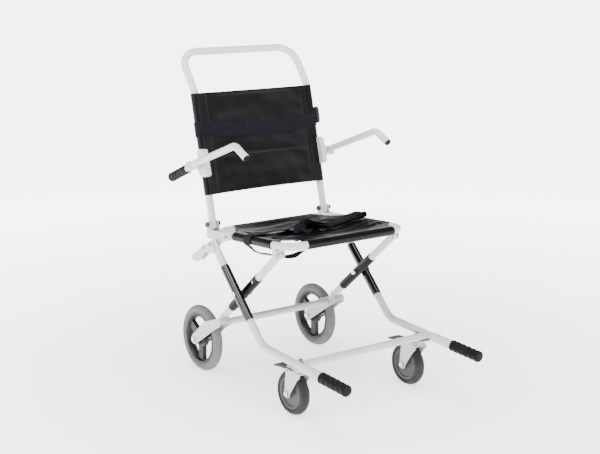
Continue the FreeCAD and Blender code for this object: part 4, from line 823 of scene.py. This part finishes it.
def turned_along_x(start, sign, profile, sides, vertices, faces):
    """Add a turned solid to a mesh. A step has a distance along X, a radius and if it is six-sided."""
    base = len(vertices)
    for distance, radius, six in profile:
        for corner in range(sides):
            angle = 2 * math.pi * corner / sides
            reach = radius
            if six:
                reach *= math.cos(math.pi / 6) / math.cos(angle % (math.pi / 3) - math.pi / 6)
            spot = Vector((sign * distance, reach * math.cos(angle), reach * math.sin(angle)))
            vertices.append(start + spot)
    faces.extend(tuple(base + i for i in face) for face in grid_faces(len(profile), sides, closed=True))
    faces.extend(end_caps(base, len(profile), sides))


def build_hinge_bolts():
    """Backrest hinge bolts: domed head and washer outside, six-sided nut with a pointed cap inside."""
    low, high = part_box("back_hinge_bolts")
    inner = 0.175
    length = high[0] - inner
    shank = 0.0040
    nut = 0.0078
    washer = 0.0079
    cap_and_nut = (
        (0.0, 0.0012, False), (0.0006, 0.0022, False), (0.0036, 0.0052, False), (0.0044, 0.0066, False),
        (0.0046, nut, True), (0.0078, nut, True), (0.0080, washer, False), (0.0090, washer, False),
        (0.0092, shank, False),
    )
    washer_and_head = (
        (0.0082, shank, False), (0.0080, washer, False), (0.0068, washer, False), (0.0066, 0.0070, False),
        (0.0034, 0.0068, False), (0.0014, 0.0054, False), (0.0003, 0.0030, False), (0.0, 0.0008, False),
    )
    profile = cap_and_nut + tuple((length - back, radius, six) for back, radius, six in washer_and_head)
    vertices = []
    faces = []
    for _, sign in SIDES:
        start = Vector((sign * inner, (low[1] + high[1]) / 2, (low[2] + high[2]) / 2))
        turned_along_x(start, sign, profile, 36, vertices, faces)
    bolts = make_piece("back_hinge_cap_bolts", vertices, faces, "dark_knob")
    face_outwards(bolts)
    bolts.data.set_sharp_from_angle(angle=SHARP)
    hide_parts("back_hinge_bolts")
    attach(bolts, "seat")


# ---- belts -------------------------------------------------------------------------------------



class SeatTop:
    """Finds the seat sling's upper surface, so that what lies on it rests on it."""

    def __init__(self, piece):
        self.tree = surface_of(piece.data)

    def lift(self, x, ahead):
        """Return the cloth's height above the rails, or the hem's where there is no cloth."""
        hit = self.tree.ray_cast(seat_point(x, ahead, ABOVE_SEAT), -SEAT_UP)
        if hit[0] is None:
            return WRAP_RADIUS + CLOTH / 2
        return (hit[0] - SEAT_REAR).dot(SEAT_UP)

    def on(self, x, ahead, above):
        """Return a place at a height above the cloth."""
        return seat_point(x, ahead, self.lift(x, ahead) + above)


ABOVE_SEAT = 0.06
LAP_BELT_WIDTH = 0.038
LOOP_WIDTH = 0.030
BELT_AHEAD = 0.184
BELT_RADIUS = WRAP_RADIUS + CLOTH / 2 + BELT / 2 + 0.0004
BELT_REST = BELT / 2 + 0.0005
# The folded pile: the pitch of its layers, the lowest one's height, and both ends' places across.
LAYER_PITCH = 0.0036
PILE_LIFT = 0.0034
PILE_START = 0.028
PILE_END = 0.196
PILE_SHIFTS = (0.012, -0.008, 0.009, -0.012)
# Each station: X, distance ahead of the rear rail, height above the seat, turn and tilt in degrees.
BELT_STRAND = (
    (-0.190, 0.181, 0.0006, -6, 0), (-0.160, 0.170, 0.0014, -10, 2), (-0.130, 0.162, 0.0034, -6, 5),
    (-0.098, 0.161, 0.0062, 4, 8), (-0.066, 0.170, 0.0036, 10, 4), (-0.030, 0.186, 0.0012, 14, 0),
    (0.010, 0.198, 0.0008, 8, 0), (0.060, 0.204, 0.0008, 0, 0),
)
BELT_HEAPS = {
    "low": (
        (-0.058, 0.218, 0.0016, 46, 0), (-0.048, 0.202, 0.0075, 40, -16), (-0.030, 0.186, 0.0125, 36, -24),
        (-0.006, 0.178, 0.0125, 24, -14), (0.020, 0.182, 0.0078, 12, -4), (0.052, 0.190, 0.0042, 4, 0),
    ),
    "high": (
        (0.046, 0.212, 0.0060, -12, 0), (0.018, 0.206, 0.0112, -28, 12), (-0.010, 0.200, 0.0178, -46, 26),
        (-0.034, 0.206, 0.0176, -70, 34), (-0.046, 0.222, 0.0098, -88, 26), (-0.036, 0.236, 0.0022, -104, 8),
    ),
    "back": (
        (-0.052, 0.146, 0.0016, -30, 0), (-0.036, 0.150, 0.0090, -24, 22), (-0.014, 0.158, 0.0150, -14, 34),
        (0.014, 0.166, 0.0140, -6, 26), (0.044, 0.172, 0.0090, 2, 10), (0.076, 0.178, 0.0066, 4, 2),
    ),
}


def round_rail(degrees, radius):
    """Return a place outside the near rail's hem, at an angle about the rail."""
    angle = math.radians(degrees)
    return seat_point(-SEAT_X + radius * math.cos(angle), BELT_AHEAD, radius * math.sin(angle))


def pile_ahead(x):
    """Return how far ahead of the rear rail the middle of the folded pile is."""
    share = max(0.0, min(1.0, (x - 0.02) / 0.18))
    return 0.206 - 0.034 * share ** 1.4


def layer_stations(layer):
    """Return the stations of one layer of the pile."""
    start = PILE_START + 0.006 * layer
    stations = []
    for step in range(6):
        share = step / 5
        x = start + (PILE_END - start) * share
        wave = 0.003 * (1.0 - share) * math.sin(share * 6.0 + layer * 2.1)
        ahead = pile_ahead(x) + PILE_SHIFTS[layer] * (1.0 - 0.92 * share) + wave
        above = PILE_LIFT + layer * LAYER_PITCH * (0.55 + 0.65 * share)
        turn = (4.0, 9.0, 11.0, 13.0, 14.0, 14.0)[step] + (3.0, -4.0, 2.0, -2.0)[layer]
        tilt = (2.0, -3.0, 4.0, -2.0)[layer] * math.sin(share * 4.0)
        stations.append((x, ahead, above, turn, tilt))
    return stations


def fold_stations(inner, outer):
    """Return the stations of the fold that joins two layers at the pile's far end."""
    low = PILE_LIFT + inner * LAYER_PITCH * 1.2
    high = PILE_LIFT + outer * LAYER_PITCH * 1.2
    bulge = (high - low) / 2
    stations = []
    for degrees in range(-90, 91, 30):
        angle = math.radians(degrees)
        share = (degrees + 90) / 180
        shift = (PILE_SHIFTS[inner] + (PILE_SHIFTS[outer] - PILE_SHIFTS[inner]) * share) * 0.08
        out = PILE_END - 0.0005 + bulge * 1.1 * math.cos(angle)
        ahead = pile_ahead(PILE_END - 0.001) + shift
        stations.append((out, ahead, (low + high) / 2 + bulge * math.sin(angle), 14, 1))
    return stations


def build_lap_belt(seat):
    """The lap belt: over the near hem, across the seat, and a heap and a folded pile of the rest."""
    top = SeatTop(seat)

    def run(name, stations, seed, ripple=0.0008, before=()):
        """Lay a strap through the stations, after any places that come before them."""
        points = list(before)
        sides = [SEAT_AHEAD.copy() for _ in before]
        for x, ahead, above, turn, tilt in stations:
            points.append(top.on(x, ahead, above + BELT_REST))
            angle = math.radians(turn)
            lean = math.radians(tilt)
            flat = SEAT_AHEAD * math.cos(angle) + ACROSS_SEAT * math.sin(angle)
            sides.append(flat * math.cos(lean) + SEAT_UP * math.sin(lean))
        return strap(name, points, sides, LAP_BELT_WIDTH, seed, ripple)

    over = [round_rail(degrees, BELT_RADIUS) for degrees in (218, 195, 170, 145, 120, 98)]
    pieces = [run("lap_belt_strand", BELT_STRAND, 2, before=over)]
    for seed, (name, stations) in enumerate(BELT_HEAPS.items(), 3):
        pieces.append(run(f"lap_belt_heap_{name}", stations, seed))
    for layer in range(len(PILE_SHIFTS)):
        pieces.append(run(f"lap_belt_layer_{layer + 1}", layer_stations(layer), 6 + layer, 0.0006))
    for inner, outer in ((0, 3), (1, 2)):
        pieces.append(run(f"lap_belt_fold_{inner + 1}", fold_stations(inner, outer), 11 + inner, 0.0))
    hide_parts("lap_belt")
    for piece in pieces:
        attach(piece, "seat")


def rounded_ring(name, centre, across, upright, half, wire, tilt=0.0):
    """Make a rounded rectangle of metal wire about a centre, in the plane of two directions."""
    normal = across.cross(upright).normalized()
    vertices = []
    corners = 40
    ring = 8
    for corner in range(corners):
        c, s = rounded_corner(2 * math.pi * corner / corners, half, 0.45)
        out = Vector((c / half[0] ** 2, s / half[1] ** 2)).normalized()
        for step in range(ring):
            turn = 2 * math.pi * step / ring
            u = c + out.x * wire * math.cos(turn)
            v = s + out.y * wire * math.cos(turn)
            lift = wire * math.sin(turn) + v * tilt
            vertices.append(centre + across * u + upright * v + normal * lift)
    faces = grid_faces(corners + 1, ring, closed=True)
    faces = [tuple(index % (corners * ring) for index in face) for face in faces]
    return make_piece(name, vertices, faces, "zinc", DULL_METAL)


def build_belt_slide(seat):
    """Small metal slide on the belt, at the foot of the pile."""
    centre = SeatTop(seat).on(0.016, 0.2265, 0.0042)
    half = (0.0095, 0.0055)
    slide = rounded_ring("lap_belt_slide", centre, ACROSS_SEAT, SEAT_AHEAD, half, 0.0011, 0.3)
    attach(slide, "seat")


def build_belt_loop():
    """The belt's spare length: it hangs from the near hem and goes up behind the front rail."""
    stations = [
        (round_rail(205, BELT_RADIUS + 0.0017), (0.0, 1.0, -0.06)),
        (round_rail(222, BELT_RADIUS + 0.0028), (0.0, 1.0, -0.06)),
        ((-0.2060, 0.0440, 0.4290), (0.35, 0.90, -0.25)),
        ((-0.1975, 0.0320, 0.4190), (0.66, 0.65, -0.40)),
        ((-0.1890, 0.0150, 0.4137), (0.76, 0.50, -0.42)),
        ((-0.1810, -0.0020, 0.4140), (0.90, 0.30, -0.30)),
        ((-0.1740, -0.0260, 0.4155), (0.97, 0.16, -0.16)),
        ((-0.1680, -0.0630, 0.4195), (0.93, 0.20, 0.25)),
        ((-0.1600, -0.0860, 0.4225), (0.86, 0.15, 0.48)),
        ((-0.1490, -0.1080, 0.4310), (0.88, 0.25, 0.40)),
        ((-0.1390, -0.1230, 0.4410), (0.96, 0.12, 0.24)),
    ]
    points = [Vector(spot) for spot, _ in stations]
    sides = [Vector(side).normalized() for _, side in stations]
    loop = strap("lap_belt_hanging_loop", points, sides, LOOP_WIDTH, 13, 0.0004)
    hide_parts("lap_belt_loop")
    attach(loop, "seat")


def build_chest_buckle():
    """Flat moulded buckle on the strap's left end: a plate with a sunk middle, and a metal rim."""
    low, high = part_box("chest_buckle")
    buckle_along = 0.289
    middle = back_point(0.0, buckle_along, 0.0)
    front = high[0] - 0.0012
    rings = ((0.0, low[0] + 0.0006), (0.0, front - 0.0024), (0.0006, front - 0.0009), (0.0020, front),
             (0.0050, front), (0.0058, front - 0.0012), (0.0075, front - 0.0016))
    vertices = []
    corners = 40
    for inset, x in rings:
        for corner in range(corners):
            half = (0.0133 - inset, 0.0243 - inset)
            u, v = rounded_corner(2 * math.pi * corner / corners, half, 0.4)
            vertices.append(Vector((x, middle.y, middle.z)) + BACK_OUT * u + BACK_UP * v)
    faces = grid_faces(len(rings), corners, closed=True) + end_caps(0, len(rings), corners)
    plate = make_piece("chest_buckle_plate", vertices, faces, "buckle")
    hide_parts("chest_buckle")
    centre = Vector((front - 0.0012, middle.y, middle.z))
    rim = rounded_ring("chest_buckle_rim", centre, BACK_OUT, BACK_UP, (0.0137, 0.0247), 0.0010)
    for piece in (plate, rim):
        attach(piece, "backrest")


def build_chest_strap():
    """Webbing round the backrest, sagging a little in front, and drawn into its buckle."""
    radius = WRAP_RADIUS + CLOTH / 2 + BELT / 2 + 0.0009
    half = []
    for step in range(21):
        angle = math.radians(-14.0 - 256.0 * step / 20)
        half.append((math.cos(angle) * radius, math.sin(angle) * radius))
    profile = [(-BACK_TUBE_X + u, v) for u, v in half]
    profile += [(-BACK_TUBE_X + 2 * BACK_TUBE_X * step / 80, radius) for step in range(1, 80)]
    profile += [(BACK_TUBE_X - u, v) for u, v in reversed(half)]
    width = 0.042
    rows = 11
    strap_along = 0.2775
    droop = 0.0135
    sink = 0.00552414
    vertices = []
    uvs = []
    run = 0.0
    lengths = [0.0]
    for a, b in zip(profile, profile[1:]):
        run += math.dist(a, b)
        lengths.append(run)
    for row in range(rows):
        offset = width * (row / (rows - 1) - 0.5)
        for index, (x, out) in enumerate(profile):
            share = min(abs(x) / BACK_TUBE_X, 1.0)
            in_front = abs(x) < BACK_TUBE_X and out > radius - 0.0001
            free = (1.0 - share ** 2) if in_front else 0.0
            sag = droop * free * (1.0 + 0.18 * x / BACK_TUBE_X)
            cup = 0.0014 * free * math.cos(math.pi * row / (rows - 1))
            ripple = noise.noise(Vector((x * 14.0, offset * 18.0, 6.2))) * 0.0012 * free
            lift = out - sink * free + cup + ripple
            vertices.append(back_point(x, strap_along + offset - sag, lift))
            uvs.append((offset, lengths[index]))
    faces = grid_faces(rows, len(profile))
    piece = make_piece("chest_strap_webbing", vertices, faces, "navy_webbing", uvs=uvs)
    thicken(piece, BELT)
    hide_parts("chest_strap")
    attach(piece, "backrest")


# ---- the scene ---------------------------------------------------------------------------------

CAMERA_PLACE = (-2.0337, -2.7025, 1.2168)
CAMERA_TILT = 77.5
CAMERA_TURN = -36.06
LENS_MM = 72.85
# The floor's glow below the chair and far out, and the distances over which it grows. The glow is painted
# light, weaker under the chair than far out.
FLOOR_GLOW = (1.8, 5.5)
FLOOR_FADE = (0.4, 2.6)
# The surround's strength at the horizon and above, and the upward share of a direction it fades over.
SURROUND = (3.6, 0.2)
SURROUND_FADE = (0.0, 0.2)

def build_camera():
    """Camera at the chair's front right corner, a little above it."""
    data = bpy.data.cameras.new("camera")
    data.sensor_fit = "HORIZONTAL"
    data.sensor_width = 36.0
    data.lens = LENS_MM
    camera = bpy.data.objects.new("camera", data)
    camera.location = CAMERA_PLACE
    camera.rotation_euler = (math.radians(CAMERA_TILT), 0.0, math.radians(CAMERA_TURN))
    bpy.context.collection.objects.link(camera)
    bpy.context.scene.camera = camera


def build_stage():
    """Broad pale floor that glows, more so far out, like the white paper round the chair. The glow is
    painted light: the floor is no lamp, and it glows less under the chair.
    """
    ring = 72
    vertices = []
    reaches = (0.5, 1.0, 2.0, 4.0, 8.0, 16.0, 32.0, 70.0)
    for reach in reaches:
        for corner in range(ring):
            angle = 2 * math.pi * corner / ring
            vertices.append((reach * math.cos(angle), reach * math.sin(angle), 0.0))
    faces = grid_faces(len(reaches), ring, closed=True)
    faces.append(tuple(reversed(range(ring))))
    paper = Recipe("pale_paper", Roughness=0.9, Specular_IOR_Level=0.1)
    paper.shader.inputs["Emission Color"].default_value = (1.0, 1.0, 1.0, 1.0)
    reach = paper.tree.nodes.new("ShaderNodeVectorMath")
    reach.operation = "LENGTH"
    paper.tree.links.new(paper.place, reach.inputs[0])
    # Painted light: the floor's emission, weak near the chair and strong far out.
    glow = paper.span(reach.outputs["Value"], *FLOOR_GLOW, *FLOOR_FADE)
    paper.tree.links.new(glow, paper.shader.inputs["Emission Strength"])
    paper.colour(paper.span(paper.noise(3.0), 0.0, 1.0), (0.93, 0.93, 0.935), (0.95, 0.95, 0.95))
    floor = make_piece("stage_floor", vertices, faces, "white_powder", paper.material)


def add_light(name, place, target, size, power):
    """Add a soft box that faces a target."""
    data = bpy.data.lights.new(name, "AREA")
    data.shape = "RECTANGLE"
    data.size = size[0]
    data.size_y = size[1]
    data.energy = power
    light = bpy.data.objects.new(name, data)
    light.location = place
    heading = Vector(target) - Vector(place)
    light.rotation_euler = heading.to_track_quat("-Z", "Y").to_euler()
    bpy.context.collection.objects.link(light)


def build_lights():
    """Soft boxes above, to the left and in front, and a surround that is brightest at the horizon."""
    world = bpy.data.worlds.new("surround")
    world.use_nodes = True
    tree = world.node_tree
    backdrop = tree.nodes["Background"]
    backdrop.inputs["Color"].default_value = (1.0, 1.0, 1.0, 1.0)
    heading = tree.nodes.new("ShaderNodeSeparateXYZ")
    tree.links.new(tree.nodes.new("ShaderNodeTexCoord").outputs["Generated"], heading.inputs[0])
    fade = tree.nodes.new("ShaderNodeMapRange")
    tree.links.new(heading.outputs["Z"], fade.inputs["Value"])
    for socket, value in zip(("From Min", "From Max", "To Min", "To Max"), (*SURROUND_FADE, *SURROUND)):
        fade.inputs[socket].default_value = value
    tree.links.new(fade.outputs["Result"], backdrop.inputs["Strength"])
    bpy.context.scene.world = world
    middle = (0.0, 0.0, 0.5)
    add_light("top_box", (-0.4, -0.3, 3.6), middle, (3.2, 3.2), 260.0)
    add_light("left_box", (-3.4, -0.2, 2.0), middle, (1.2, 2.4), 80.0)
    add_light("front_box", (1.2, -3.6, 1.8), middle, (1.2, 1.6), 40.0)


paint_nodes()
build_back_sling()
build_chest_strap()
build_chest_buckle()
seat_cloth = build_seat_sling()
build_lap_belt(seat_cloth)
build_belt_slide(seat_cloth)
build_belt_loop()
build_screws()
build_hinge_bolts()
build_camera()
build_stage()
build_lights()
